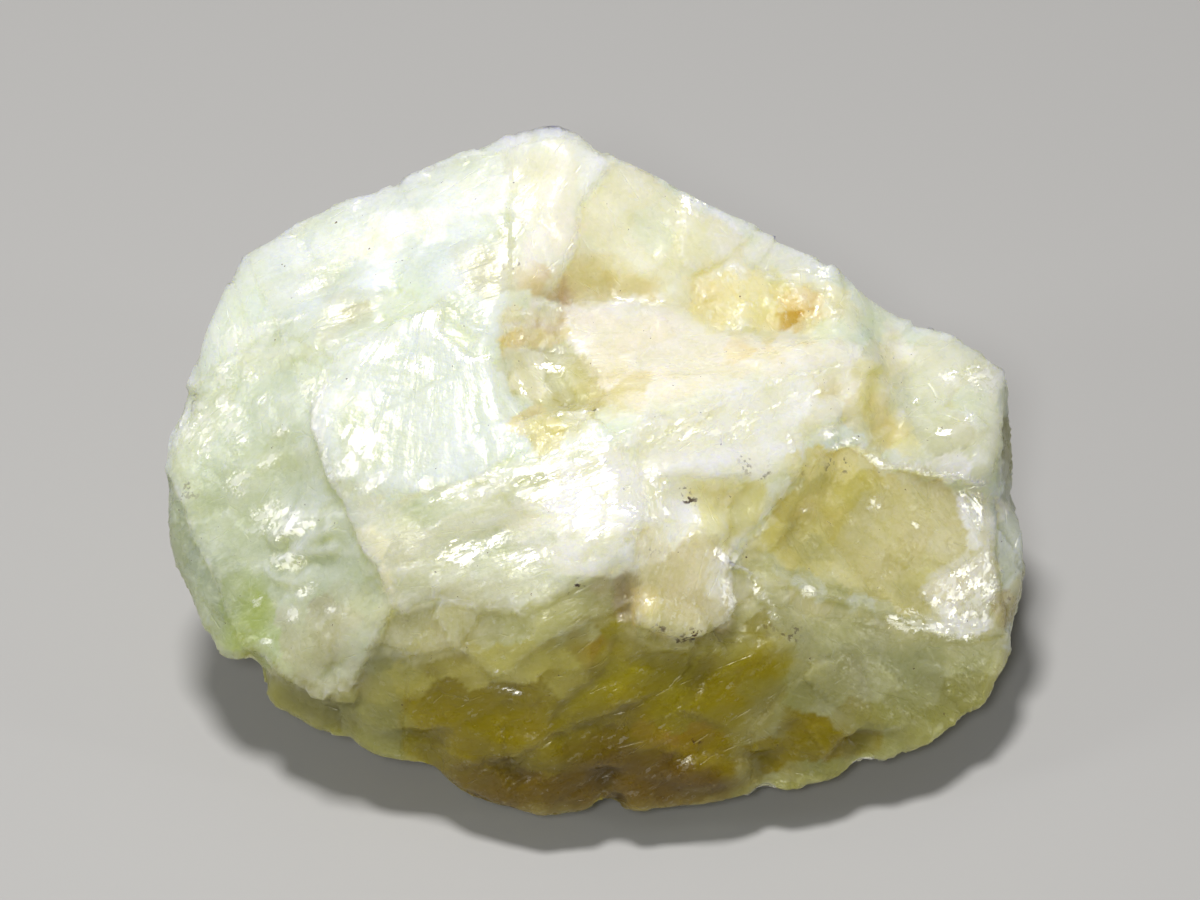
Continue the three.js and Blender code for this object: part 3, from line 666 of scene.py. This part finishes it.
def facets(points, layer):
    """Flat facets, each tilted its own way, from about -1 to 1, with small cliffs between."""
    offset, place = facet_cells(points, layer)
    return 1.6 * (offset * tilts(place, layer[-1] + 40)).sum(-1)


def terraces(points, size, steps, seed):
    """Overlapping shells: the height climbs gently and drops at wandering sharp edges."""
    climb = steps * fractal(points, size, seed, octaves=3)
    part = climb - np.floor(climb)
    return part * smoothstep(1, 0.85, part)


# ---- Places on the show face --------------------------------------------------------------------


def along_line(show, line):
    """Each point's distance from a line, its side (1 on the left), and its place from 0 to 1."""
    line = np.array(line, float)
    lengths = np.linalg.norm(np.diff(line, axis=0), axis=1)
    starts = np.concatenate([[0], np.cumsum(lengths)])
    distance = np.full(len(show), 1e9)
    side = np.ones(len(show))
    place = np.zeros(len(show))
    for k, length in enumerate(lengths):
        direction = (line[k + 1] - line[k]) / length
        offset = show - line[k]
        run = np.clip(offset @ direction, 0, length)
        gap = np.linalg.norm(offset - run[:, None] * direction, axis=1)
        cross = direction[0] * offset[:, 1] - direction[1] * offset[:, 0]
        nearer = gap < distance - 1e-9
        distance = np.where(nearer, gap, distance)
        side = np.where(nearer, np.sign(cross), side)
        place = np.where(nearer, (starts[k] + run) / starts[-1], place)
    return distance, side, place


def tapered(place, share=0.12):
    """1 along a line's middle, falling to 0 at its two ends."""
    return smoothstep(0, share, place) * smoothstep(1, 1 - share, place)


def inside(show, corners, soft):
    """1 inside an outline, falling to 0 outside it, over twice the distance soft."""
    corners = np.array(corners, float)
    distance = along_line(show, np.vstack([corners, corners[:1]]))[0]
    crossings = np.zeros(len(show), bool)
    for (x0, y0), (x1, y1) in zip(corners, np.roll(corners, -1, axis=0)):
        if y0 == y1:
            continue
        spans = (show[:, 1] > y0) != (show[:, 1] > y1)
        at = x0 + (show[:, 1] - y0) * (x1 - x0) / (y1 - y0)
        crossings ^= spans & (show[:, 0] < at)
    return smoothstep(-soft, soft, np.where(crossings, distance, -distance))


def spot(show, across, up, half_width, half_height, turn):
    """1 in the middle of a tilted ellipse, falling to 0 at its rim."""
    angle = math.radians(turn)
    offset = show - (across, up)
    along = offset @ (math.cos(angle), math.sin(angle)) / half_width
    beside = offset @ (-math.sin(angle), math.cos(angle)) / half_height
    return smoothstep(1.3, 0.3, np.hypot(along, beside))


def strongest(show, spots):
    """The strongest of several spots at each point; each ends with its strength."""
    total = np.zeros(len(show))
    for *shape, strength in spots:
        total = np.maximum(total, strength * spot(show, *shape))
    return total


# ---- The stone's mesh ---------------------------------------------------------------------------


def new_object(name, data):
    made = bpy.data.objects.new(name, data)
    bpy.context.scene.collection.objects.link(made)
    return made


def remeshed_copy(node, name, voxel):
    """A fine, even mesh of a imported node's shape."""
    piece = new_object(name, node.data.copy())
    remesh = piece.modifiers.new("remesh", "REMESH")
    remesh.mode = "VOXEL"
    remesh.voxel_size = voxel * MM
    depsgraph = bpy.context.evaluated_depsgraph_get()
    fine = bpy.data.meshes.new_from_object(piece.evaluated_get(depsgraph))
    piece.modifiers.clear()
    piece.data = fine
    piece.data.materials.clear()
    return piece


class Surface:
    """The stone's points in millimetres, with what carving needs to know about them."""

    def __init__(self, mesh):
        self.mesh = mesh
        count = len(mesh.vertices)
        flat = np.zeros(count * 3, np.float32)
        mesh.vertices.foreach_get("co", flat)
        self.points = flat.reshape(-1, 3).astype(float) / MM
        edges = np.zeros(len(mesh.edges) * 2, np.int32)
        mesh.edges.foreach_get("vertices", edges)
        self.edges = edges.reshape(-1, 2)
        self.degree = np.bincount(edges, minlength=count)
        self.refresh()

    def store(self):
        self.mesh.vertices.foreach_set("co", (self.points * MM).astype(np.float32).ravel())
        self.mesh.update()

    def refresh(self):
        """Takes the normals and the place on the show face from the points as they are now."""
        self.store()
        flat = np.zeros(len(self.points) * 3, np.float32)
        self.mesh.vertex_normals.foreach_get("vector", flat)
        self.normals = self.averaged(flat.reshape(-1, 3).astype(float), 3)
        self.normals /= np.linalg.norm(self.normals, axis=1, keepdims=True)
        across = self.points[:, 0]
        up = self.points @ SHOW_UP - SHOW_MIDDLE_HEIGHT
        self.show = np.stack([across, up], axis=-1)
        out = self.normals @ SHOW_OUT
        self.facing = smoothstep(-0.1, 0.25, out)
        self.round_the_edge = smoothstep(-0.7, -0.3, out)

    def averaged(self, values, rounds):
        """Values smoothed over neighbouring points."""
        a, b = self.edges.T
        for _ in range(rounds):
            total = np.empty_like(values)
            for k in range(values.shape[1]):
                total[:, k] = np.bincount(a, values[b, k], len(values))
                total[:, k] += np.bincount(b, values[a, k], len(values))
            values = (values + total) / (self.degree[:, None] + 1)
        return values

    def relax(self, rounds):
        self.points = self.averaged(self.points, rounds)

    def push(self, height):
        """Moves the points out along their normals, or in where height is negative."""
        self.points += height[:, None] * self.normals


def wandering_show(surface, size, amount, seed):
    """Places on the show face moved about a little, so that drawn lines come out ragged."""
    moves = [fractal(surface.points, size, seed + 10 * k, octaves=3) for k in range(2)]
    return surface.show + amount * np.stack(moves, axis=-1)


def ragged_show(surface):
    """The ragged places that all drawn lines and zones use."""
    return wandering_show(surface, 1.6, 0.2, 31)


def step_height(show, line, height, reach):
    distance, side, place = along_line(show, line)
    signed = distance * side
    rise = smoothstep(-0.15, 0.15, signed) * smoothstep(reach, 0, signed)
    return height * rise * tapered(place)


def ridge_height(show, line, height, width):
    distance, _, place = along_line(show, line)
    return height * np.exp(-((distance / width) ** 2)) * tapered(place)


def shattered_show(surface, size, share, seed):
    """Places on the show face pulled towards scattered middles, so that outlines come out jagged."""
    flat = np.column_stack([surface.show, np.zeros(len(surface.show))])
    offset = nearest_cell(flat, size, seed)[0]
    return surface.show - share * size * offset[:, :2]


def set_grain(surface, ragged):
    """Sets the way the grain runs at each point: each fracture face has its own."""
    slants = tilts(facet_cells(surface.points, BIG_FACETS)[1], 45)
    front = surface.facing > 0.5
    for face, angle in FACE_GRAIN.items():
        turn = math.radians(angle)
        along = np.array([math.cos(turn), 0, 0]) + math.sin(turn) * SHOW_UP
        slants[front & (inside(ragged, FACES[face], 0.1) > 0.5)] = along
    surface.slants = slants / np.linalg.norm(slants, axis=1, keepdims=True)
    surface.on_plate = (inside(ragged, FACES["plate"], 0.1) > 0.5) & front


def along_grain(surface, ragged, squeeze):
    """Points squeezed along the grain, so that noise and facets on them come out long that way."""
    run = (surface.points * surface.slants).sum(-1, keepdims=True)
    places = surface.points - squeeze * run * surface.slants
    offset = ragged - PLATE_FAN_MIDDLE
    radius = np.hypot(*offset.T)
    angle = np.arctan2(offset[:, 0], -offset[:, 1])
    fan = np.column_stack([PLATE_FAN_WIDTH * angle, (1 - squeeze) * radius, np.zeros(len(radius))])
    return np.where(surface.on_plate[:, None], fan, places)


def soften(surface, corners, rounds):
    """Wears corners round."""
    worn = surface.averaged(surface.points, rounds)
    share = strongest(surface.show, corners) * surface.round_the_edge
    surface.points += share[:, None] * (worn - surface.points)


def flatten(surface, faces):
    """Pares fracture faces down towards flat planes."""
    for name, strength in faces.items():
        share = strength * inside(surface.show, FACES[name], 1.2) * surface.facing
        height = surface.points @ SHOW_OUT
        place = np.column_stack([surface.show, np.ones(len(height))])
        plane = np.linalg.lstsq(place * share[:, None], height * share, rcond=None)[0]
        surface.points += (share * (place @ plane - height))[:, None] * SHOW_OUT


def face_strength(show, strengths, soft=0.8):
    """How far each point lies in the faces named, times their strengths."""
    total = np.zeros(len(show))
    for name, strength in strengths.items():
        total = np.maximum(total, strength * inside(show, FACES[name], soft))
    return total


def frost_zone(surface, ragged):
    """How frosted with small glinting facets the surface is."""
    elsewhere = smoothstep(0.35, 0.7, fractal(surface.points, 5.0, 111)) * (1 - surface.facing)
    shown = np.maximum(strongest(ragged, FROST), face_strength(ragged, FROSTED_FACES, 0.3))
    for line, width, strength in FROST_LINES:
        distance, _, place = along_line(ragged, line)
        lined = strength * smoothstep(1.3 * width, 0.5 * width, distance) * tapered(place)
        shown = np.maximum(shown, lined)
    return np.maximum(shown * surface.facing, 0.5 * elsewhere)


def plate_striae(surface, ragged):
    """Fine wavy lines that fan down over the plate."""
    offset = ragged - PLATE_FAN_MIDDLE
    angle = np.arctan2(offset[:, 0], -offset[:, 1])
    wander = fractal(surface.points, 2.4, 83, octaves=3)
    lines = np.sin(75 * angle + 2.6 * wander)
    across_lines = np.sin(9 * ragged[:, 1] + 2.0 * ragged[:, 0] + 3.0 * wander)
    upper_left = spot(ragged, -11.4, 5.4, 3, 2.6, 20)
    height = (1 - upper_left) * lines + upper_left * across_lines
    share = inside(ragged, FACES["plate"], 0.6) * smoothstep(-0.5, 0.3, wander)
    return PLATE_LINE_RELIEF * height * share


def carve_drawn_features(surface):
    """The steps, ridges, swells and grooves of the show face."""
    ragged = ragged_show(surface)
    total = np.zeros(len(ragged))
    for height, reach, line in STEPS.values():
        total += step_height(ragged, line, height, reach)
    for height, width, line in RIDGES.values():
        total += ridge_height(ragged, line, height, width)
    for *shape, height in SWELLS:
        total += height * spot(ragged, *shape)
    total *= surface.facing
    for height, width, line in EDGE_GROOVES.values():
        total += ridge_height(ragged, line, height, width) * surface.round_the_edge
    surface.push(total)
    surface.refresh()


def carve_broad_shape(surface):
    """Flat faces, worn corners and the large facets."""
    surface.relax(1)
    surface.refresh()
    flatten(surface, FLAT_FACES)
    surface.refresh()
    soften(surface, WORN_CORNERS, WEAR_ROUNDS)
    surface.refresh()
    surface.push(BROAD_RELIEF * fractal(surface.points, 8.0, 3, octaves=3))
    big = facets(surface.points, BIG_FACETS)
    surface.push((0.1 + 0.3 * (1 - surface.round_the_edge)) * big)
    surface.refresh()


def carve_fine_relief(surface):
    """Shards, shells, chips, scars and grit, stronger or weaker from face to face."""
    ragged = ragged_show(surface)
    smooth = face_strength(ragged, SMOOTH_FACES) * surface.facing
    rubble = face_strength(ragged, RUBBLY_FACES) * surface.facing
    frost = frost_zone(surface, ragged)
    set_grain(surface, ragged)
    shards = facets(along_grain(surface, ragged, SHARD_SQUEEZE), SHARDS)
    surface.push((0.15 - 0.12 * smooth) * shards)
    shells = terraces(surface.points, 9.0, 2.6, 41)
    surface.push(SHELL_RELIEF * (1 - smooth) * shells)
    surface.refresh()
    scars = facets(along_grain(surface, ragged, SCAR_SQUEEZE), SCARS)
    surface.push((0.01 + 0.025 * frost) * scars)
    chips = facets(surface.points, CHIPS)
    surface.push((0.03 + 0.12 * rubble) * (1 - 0.5 * smooth) * chips)
    surface.push(plate_striae(surface, ragged) * surface.facing)
    grit = facets(surface.points, GRIT)
    surface.push((0.01 + 0.06 * rubble + 0.01 * frost) * grit)
    surface.points[:, 2] = np.maximum(surface.points[:, 2], 0)
    surface.refresh()


def carve(surface):
    carve_broad_shape(surface)
    carve_drawn_features(surface)
    carve_fine_relief(surface)


# ---- The stone's colour -------------------------------------------------------------------------


def store(surface, name, kind, field, values):
    """Keeps one value for each point as a named attribute of the mesh."""
    attribute = surface.mesh.attributes.new(name, kind, "POINT")
    attribute.data.foreach_set(field, values.astype(np.float32).ravel())


def store_zone(surface, name, values):
    store(surface, name, "FLOAT", "value", np.clip(values, 0, 1))


def store_vectors(surface, name, vectors):
    store(surface, name, "FLOAT_VECTOR", "vector", vectors)


def store_colour(surface, name, colours):
    opaque = np.column_stack([np.clip(colours, 0, 0.97), np.ones(len(colours))])
    store(surface, name, "FLOAT_COLOR", "color", opaque)


def facet_ways(surface):
    """The way glinting facets face at each point: the cleavage nearest to the surface there."""
    ways = np.array(FACET_WAYS)
    closeness = surface.normals @ ways.T
    nearest = ways[closeness.argmax(axis=1)]
    return np.where((closeness.max(axis=1) > 0.5)[:, None], nearest, surface.normals)


def laid_over(colours, share, name):
    return colours + share[:, None] * (np.array(COLOURS[name]) - colours)


def all_round_colour(surface):
    """Sage with pale, warm and olive clouds, darker towards the bottom as painted shade: the look of the
    sides and the back.
    """
    points = surface.points
    colours = np.tile(COLOURS["sage"], (len(points), 1))
    height = smoothstep(6, 24, points[:, 2] + 4 * fractal(points, 9.0, 91, octaves=3))
    colours = laid_over(colours, 0.9 * height, "mint")
    colours = laid_over(colours, smoothstep(24, 29, points[:, 2]), "pale cream")
    colours = laid_over(colours, smoothstep(0.1, 0.6, fractal(points, 7.0, 95)), "sage light")
    colours = laid_over(colours, 0.8 * smoothstep(0.15, 0.6, fractal(points, 8.0, 99)), "facet")
    # Darker towards the bottom: the stone's olive, deepened low down as painted shade.
    low = smoothstep(13, 5, points[:, 2] + 3 * fractal(points, 7.0, 103, octaves=3))
    colours = laid_over(colours, low, "low green")
    return laid_over(colours, low * smoothstep(-0.2, 0.5, fractal(points, 6.0, 107)), "olive")


def shard_shades(surface, ragged):
    """A shade for each long shard: a little lighter or darker, warmer or cooler than the next."""
    place = facet_cells(along_grain(surface, ragged, SHARD_SQUEEZE), SHARDS)[1]
    light = lattice(place, 121) - 0.5
    warm = lattice(place, 122) - 0.5
    return 1 + np.column_stack([0.06 * light + 0.02 * warm, 0.06 * light, 0.08 * light - 0.07 * warm])


def painted_colour(surface, jagged, patchy):
    """Each point's colour: faces with jagged rims, then patches laid over them."""
    colours = laid_over(all_round_colour(surface), surface.facing, "layer yellow")
    high = smoothstep(-8, -2, surface.show[:, 1]) * surface.facing
    colours = laid_over(colours, high, "sage light")
    for face, soft, colour, strength in FACE_COLOURS:
        share = strength * inside(jagged, FACES[face], soft) * surface.facing
        colours = laid_over(colours, share, colour)
    for *shape, colour, strength in SPOT_COLOURS:
        share = strength * spot(patchy, *shape) * surface.facing
        colours = laid_over(colours, share, colour)
    return colours


def edge_zone(surface, ragged):
    """1 along the edges of the steps, less where a step is low."""
    edges = np.zeros(len(ragged))
    for height, _, line in STEPS.values():
        distance, _, place = along_line(ragged, line)
        share = min(1, abs(height) / 0.3)
        edges = np.maximum(edges, share * smoothstep(0.3, 0.05, distance) * tapered(place))
    return edges * surface.facing


def paint(surface):
    ragged = ragged_show(surface)
    wander = wandering_show(surface, 2.6, 0.35, 71) - surface.show
    jagged = shattered_show(surface, 0.9, 0.7, 77) + wander
    patchy = shattered_show(surface, 1.5, 0.75, 79) + 1.6 * wander
    colours = painted_colour(surface, jagged, patchy)
    store_colour(surface, "tint", colours * shard_shades(surface, ragged))
    store_zone(surface, "frost", frost_zone(surface, ragged))
    store_zone(surface, "edge", edge_zone(surface, ragged))
    store_zone(surface, "grime", strongest(jagged, GRIME) * surface.facing)
    store_vectors(surface, "grain", along_grain(surface, ragged, FINE_SQUEEZE) * MM)
    store_vectors(surface, "way", facet_ways(surface))


# ---- The stone's material -----------------------------------------------------------------------


def add_node(tree, kind, inputs=(), **settings):
    """A shader node with its settings. Each input is a plain value or another node's Value."""
    made = tree.nodes.new("ShaderNode" + kind)
    for key, value in settings.items():
        setattr(made, key, value)
    for key, value in dict(inputs).items():
        if isinstance(value, Value):
            tree.links.new(value.socket, made.inputs[key])
        else:
            made.inputs[key].default_value = value
    return made


class Value:
    """What comes out of a node. Whatever is done with it adds another node."""

    def __init__(self, node, output=0):
        self.tree = node.id_data
        self.socket = node.outputs[output]

    def maths(self, operation, *others):
        return Value(add_node(self.tree, "Math", enumerate((self, *others)), operation=operation))

    def vector(self, operation, *others, output="Vector"):
        inputs = enumerate((self, *others))
        return Value(add_node(self.tree, "VectorMath", inputs, operation=operation), output)

    def __add__(self, other):
        return self.maths("ADD", other)

    def __mul__(self, other):
        return self.maths("MULTIPLY", other)

    def larger(self, *others):
        return functools.reduce(lambda a, b: a.maths("MAXIMUM", b), others, self)

    def ramp(self, low, high, to_low=0.0, to_high=1.0):
        ends = {"From Min": low, "From Max": high, "To Min": to_low, "To Max": to_high}
        return Value(add_node(self.tree, "MapRange", {"Value": self, **ends}), "Result")

    def blended(self, share, other, blend="MIX"):
        """A colour or vector, taken share of the way to another."""
        inputs = {0: share, 6: self, 7: other}
        return Value(add_node(self.tree, "Mix", inputs, data_type="RGBA", blend_type=blend), 2)

    def channel(self, name):
        return Value(add_node(self.tree, "SeparateColor", {"Color": self}), name)

    def noise(self, size, detail=2.0, rough=0.6):
        """Noise from about 0 to 1 at this place, that changes over size millimetres."""
        inputs = {"Vector": self, "Scale": 1 / (size * MM), "Detail": detail, "Roughness": rough}
        return Value(add_node(self.tree, "TexNoise", inputs), "Fac")

    def cells(self, size, **settings):
        """Straight-edged cells of about size millimetres at this place."""
        return add_node(self.tree, "TexVoronoi", {"Vector": self, "Scale": 1 / (size * MM)}, **settings)

    def facets(self, size):
        """Height of small flat facets, each tilted its own way."""
        cells = self.cells(size)
        tilt = Value(cells, "Color").vector("SUBTRACT", (0.5, 0.5, 0.5))
        gap = self.vector("SUBTRACT", Value(cells, "Position"))
        return gap.vector("DOT_PRODUCT", tilt, output="Value")

    def glints(self, size, chance):
        """Scattered facets, as many as chance says, from 0 for dull to 1 for bright, and each
        one's small wobble."""
        colour = Value(self.cells(size), "Color")
        shown = chance.maths("SUBTRACT", colour.channel("Red")).ramp(0.0, 0.2)
        return shown, colour.vector("MULTIPLY_ADD", (GLINT_WOBBLE,) * 3, (-GLINT_WOBBLE / 2,) * 3)

    def hairlines(self, size, width):
        """1 on fine straight cracks, each about size from the next, and 0 between them."""
        distance = Value(self.cells(size, feature="DISTANCE_TO_EDGE"), "Distance")
        return distance.ramp(0.0, width / size, 1.0, 0.0)


def stored(tree, name, output="Fac"):
    """What was stored for each point under a name."""
    return Value(add_node(tree, "Attribute", attribute_name=name), output)


class Patterns:
    """The zones and noises that the stone's colour, gloss and relief share."""

    def __init__(self, tree):
        place = Value(add_node(tree, "TexCoord"), "Object")
        self.along = stored(tree, "grain", "Vector")
        self.tint = stored(tree, "tint", "Color")
        self.way = stored(tree, "way", "Vector")
        self.frost, self.edge, self.grime = (stored(tree, name) for name in ("frost", "edge", "grime"))
        self.cloud = place.noise(3.0, rough=0.55)
        self.patch = place.noise(1.1)
        self.speckle = place.noise(0.3, detail=3, rough=0.55)
        self.veil = self.along.noise(1.6)
        self.streak = self.along.noise(0.42)
        self.hairline = self.along.hairlines(1.5, 0.05) * self.patch.ramp(0.5, 0.6)
        self.paleness = self.tint.channel("Blue").ramp(0.02, 0.6, 0.02, 1.0)
        leaning = place.blended(0.72, self.along)
        ragged = self.speckle.vector("MULTIPLY_ADD", (0.0007, 0.0007, 0.0007), leaning)
        bright, self.wobble = ragged.glints(GLINT_SIZE, self.frost.ramp(0.3, 1.0))
        sparkle, _ = ragged.glints(SPARKLE_SIZE, self.frost.ramp(0.05, 1.0, 0.0, 0.45))
        self.glint = (bright * self.streak.ramp(0.4, 0.5, 0.15, 1.0)).larger(sparkle)


def clouded(stone):
    """The stone's own colour with clouds and a fine grain in it."""
    mottled = stone.speckle.maths("MULTIPLY_ADD", 0.4, stone.cloud * 0.8)
    channels = {name: mottled.ramp(0.35, 0.8, *ends) for name, ends in CLOUD_SHADES.items()}
    shade = Value(add_node(stone.tint.tree, "CombineColor", channels))
    return stone.tint.blended(1.0, shade, "MULTIPLY")


def veiled(stone, colour):
    """White inner veils, cracks and worn edges. They show most where the stone is pale."""
    veils = stone.veil.ramp(0.46, 0.75) * stone.paleness * 0.42
    streaks = stone.streak.ramp(0.56, 0.76) * stone.paleness * 0.14
    cracks = stone.hairline * stone.paleness * 0.3
    worn = stone.edge * stone.patch.ramp(0.42, 0.6, 0.0, 0.6)
    worn = worn * stone.paleness.ramp(0.0, 0.6, 0.06, 1.0)
    pale = stone.tint.blended(0.7, VEIL_WHITE)
    return colour.blended(veils.larger(streaks, cracks, worn), pale)


def frosted(stone, colour):
    """White crushed grains where the stone is frosted, and glinting facets painted white: partly the
    frost's own white, partly painted highlight.
    """
    crushed = (stone.streak + stone.speckle).ramp(0.9, 1.3, 0.0, 0.4)
    sugar = stone.frost * crushed * stone.paleness.ramp(0.0, 0.5, 0.2, 1.0)
    # The glints' share of white is painted highlight.
    return colour.blended(sugar.larger(stone.glint * 0.45), FROST_AND_GLINT_WHITE)


def dirtied(stone, colour):
    """Brown dots where grime has settled, and a few stray ones elsewhere."""
    dots = stone.grime * stone.speckle.ramp(0.51, 0.57) * stone.patch.ramp(0.44, 0.52)
    stray = stone.speckle.ramp(0.73, 0.75) * 0.85
    return colour.blended(dots.larger(stray), DIRT_BROWN)


def gloss(stone):
    """Roughness in soft clouds, with the glints twice as glossy."""
    return stone.patch.ramp(0.35, 0.65, 0.24, 0.36) * stone.glint.ramp(0.0, 1.0, 1.0, 0.5)


def relief_normal(stone):
    """Fine relief in metres, with the glinting facets turned the way that the stone cleaves."""
    lines = stone.streak * (stone.frost * 0.00006 + 0.00004)
    rime = stone.speckle * (stone.frost * 0.00004 + 0.000024)
    chips = stone.along.facets(0.35) * (stone.frost * 0.15 + 0.04)
    height = lines + stone.patch * 0.00008 + rime + chips + stone.hairline * -0.00004
    inputs = {"Height": height, "Strength": 1.0, "Distance": 1.0}
    bump = Value(add_node(stone.tint.tree, "Bump", inputs), "Normal")
    return bump.blended(stone.glint, stone.way.vector("ADD", stone.wobble)).vector("NORMALIZE")


def stone_material():
    material = bpy.data.materials.new("datolite")
    material.use_nodes = True
    shader = material.node_tree.nodes["Principled BSDF"]
    stone = Patterns(material.node_tree)
    colour = dirtied(stone, frosted(stone, veiled(stone, clouded(stone))))
    linked = {"Base Color": colour, "Roughness": gloss(stone), "Normal": relief_normal(stone)}
    for name, value in linked.items():
        material.node_tree.links.new(value.socket, shader.inputs[name])
    for name, value in STONE_SHADER.items():
        shader.inputs[name].default_value = value
    return material


def make_stone(frame):
    stone = remeshed_copy(frame["nodes"][NODE], "stone", VOXEL)
    surface = Surface(stone.data)
    carve(surface)
    paint(surface)
    stone.data.shade_smooth()
    stone.data.materials.append(stone_material())
    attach(stone, "root")
    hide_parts(NODE)


# ---- The scene ----------------------------------------------------------------------------------


def make_camera():
    camera = new_object("camera", bpy.data.cameras.new("camera"))
    camera.data.lens = CAMERA_LENS
    camera.data.clip_start = 0.01
    target = Vector(CAMERA_TARGET) * MM
    camera.location = target + Vector(SHOW_OUT) * CAMERA_DISTANCE * MM
    camera.rotation_euler = (math.pi / 2 - SHOW_TILT, 0, 0)
    bpy.context.scene.camera = camera


def make_lights():
    for name, (place, size, power, colour) in LAMPS.items():
        lamp = new_object(name, bpy.data.lights.new(name, "AREA"))
        lamp.data.shape = "DISK"
        lamp.data.size = size
        lamp.data.energy = power
        lamp.data.color = colour
        lamp.location = place
        lamp.rotation_euler = (LAMPS_AIM - lamp.location).to_track_quat("-Z", "Y").to_euler()
    world = bpy.data.worlds.new("studio")
    world.use_nodes = True
    sky = world.node_tree.nodes["Background"]
    sky.inputs["Color"].default_value = SKY_COLOUR
    sky.inputs["Strength"].default_value = SKY_STRENGTH
    bpy.context.scene.world = world
    bpy.context.scene.view_settings.view_transform = "Standard"


def make_floor():
    half = FLOOR_HALF_SIDE
    mesh = bpy.data.meshes.new("floor")
    corners = [(-half, -half, 0), (half, -half, 0), (half, half, 0), (-half, half, 0)]
    mesh.from_pydata(corners, [], [(0, 1, 2, 3)])
    floor = new_object("floor", mesh)
    material = bpy.data.materials.new("floor")
    material.use_nodes = True
    shader = material.node_tree.nodes["Principled BSDF"]
    shader.inputs["Base Color"].default_value = FLOOR_COLOUR
    shader.inputs["Roughness"].default_value = FLOOR_ROUGHNESS
    floor.data.materials.append(material)


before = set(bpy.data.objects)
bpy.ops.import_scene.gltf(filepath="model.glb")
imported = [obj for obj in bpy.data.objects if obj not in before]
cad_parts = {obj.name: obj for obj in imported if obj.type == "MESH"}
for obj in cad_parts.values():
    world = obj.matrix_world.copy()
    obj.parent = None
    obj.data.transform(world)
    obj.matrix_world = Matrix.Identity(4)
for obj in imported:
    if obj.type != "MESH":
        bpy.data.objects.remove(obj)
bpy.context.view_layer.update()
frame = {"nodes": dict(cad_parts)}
make_camera()
make_lights()
make_floor()
make_stone(frame)
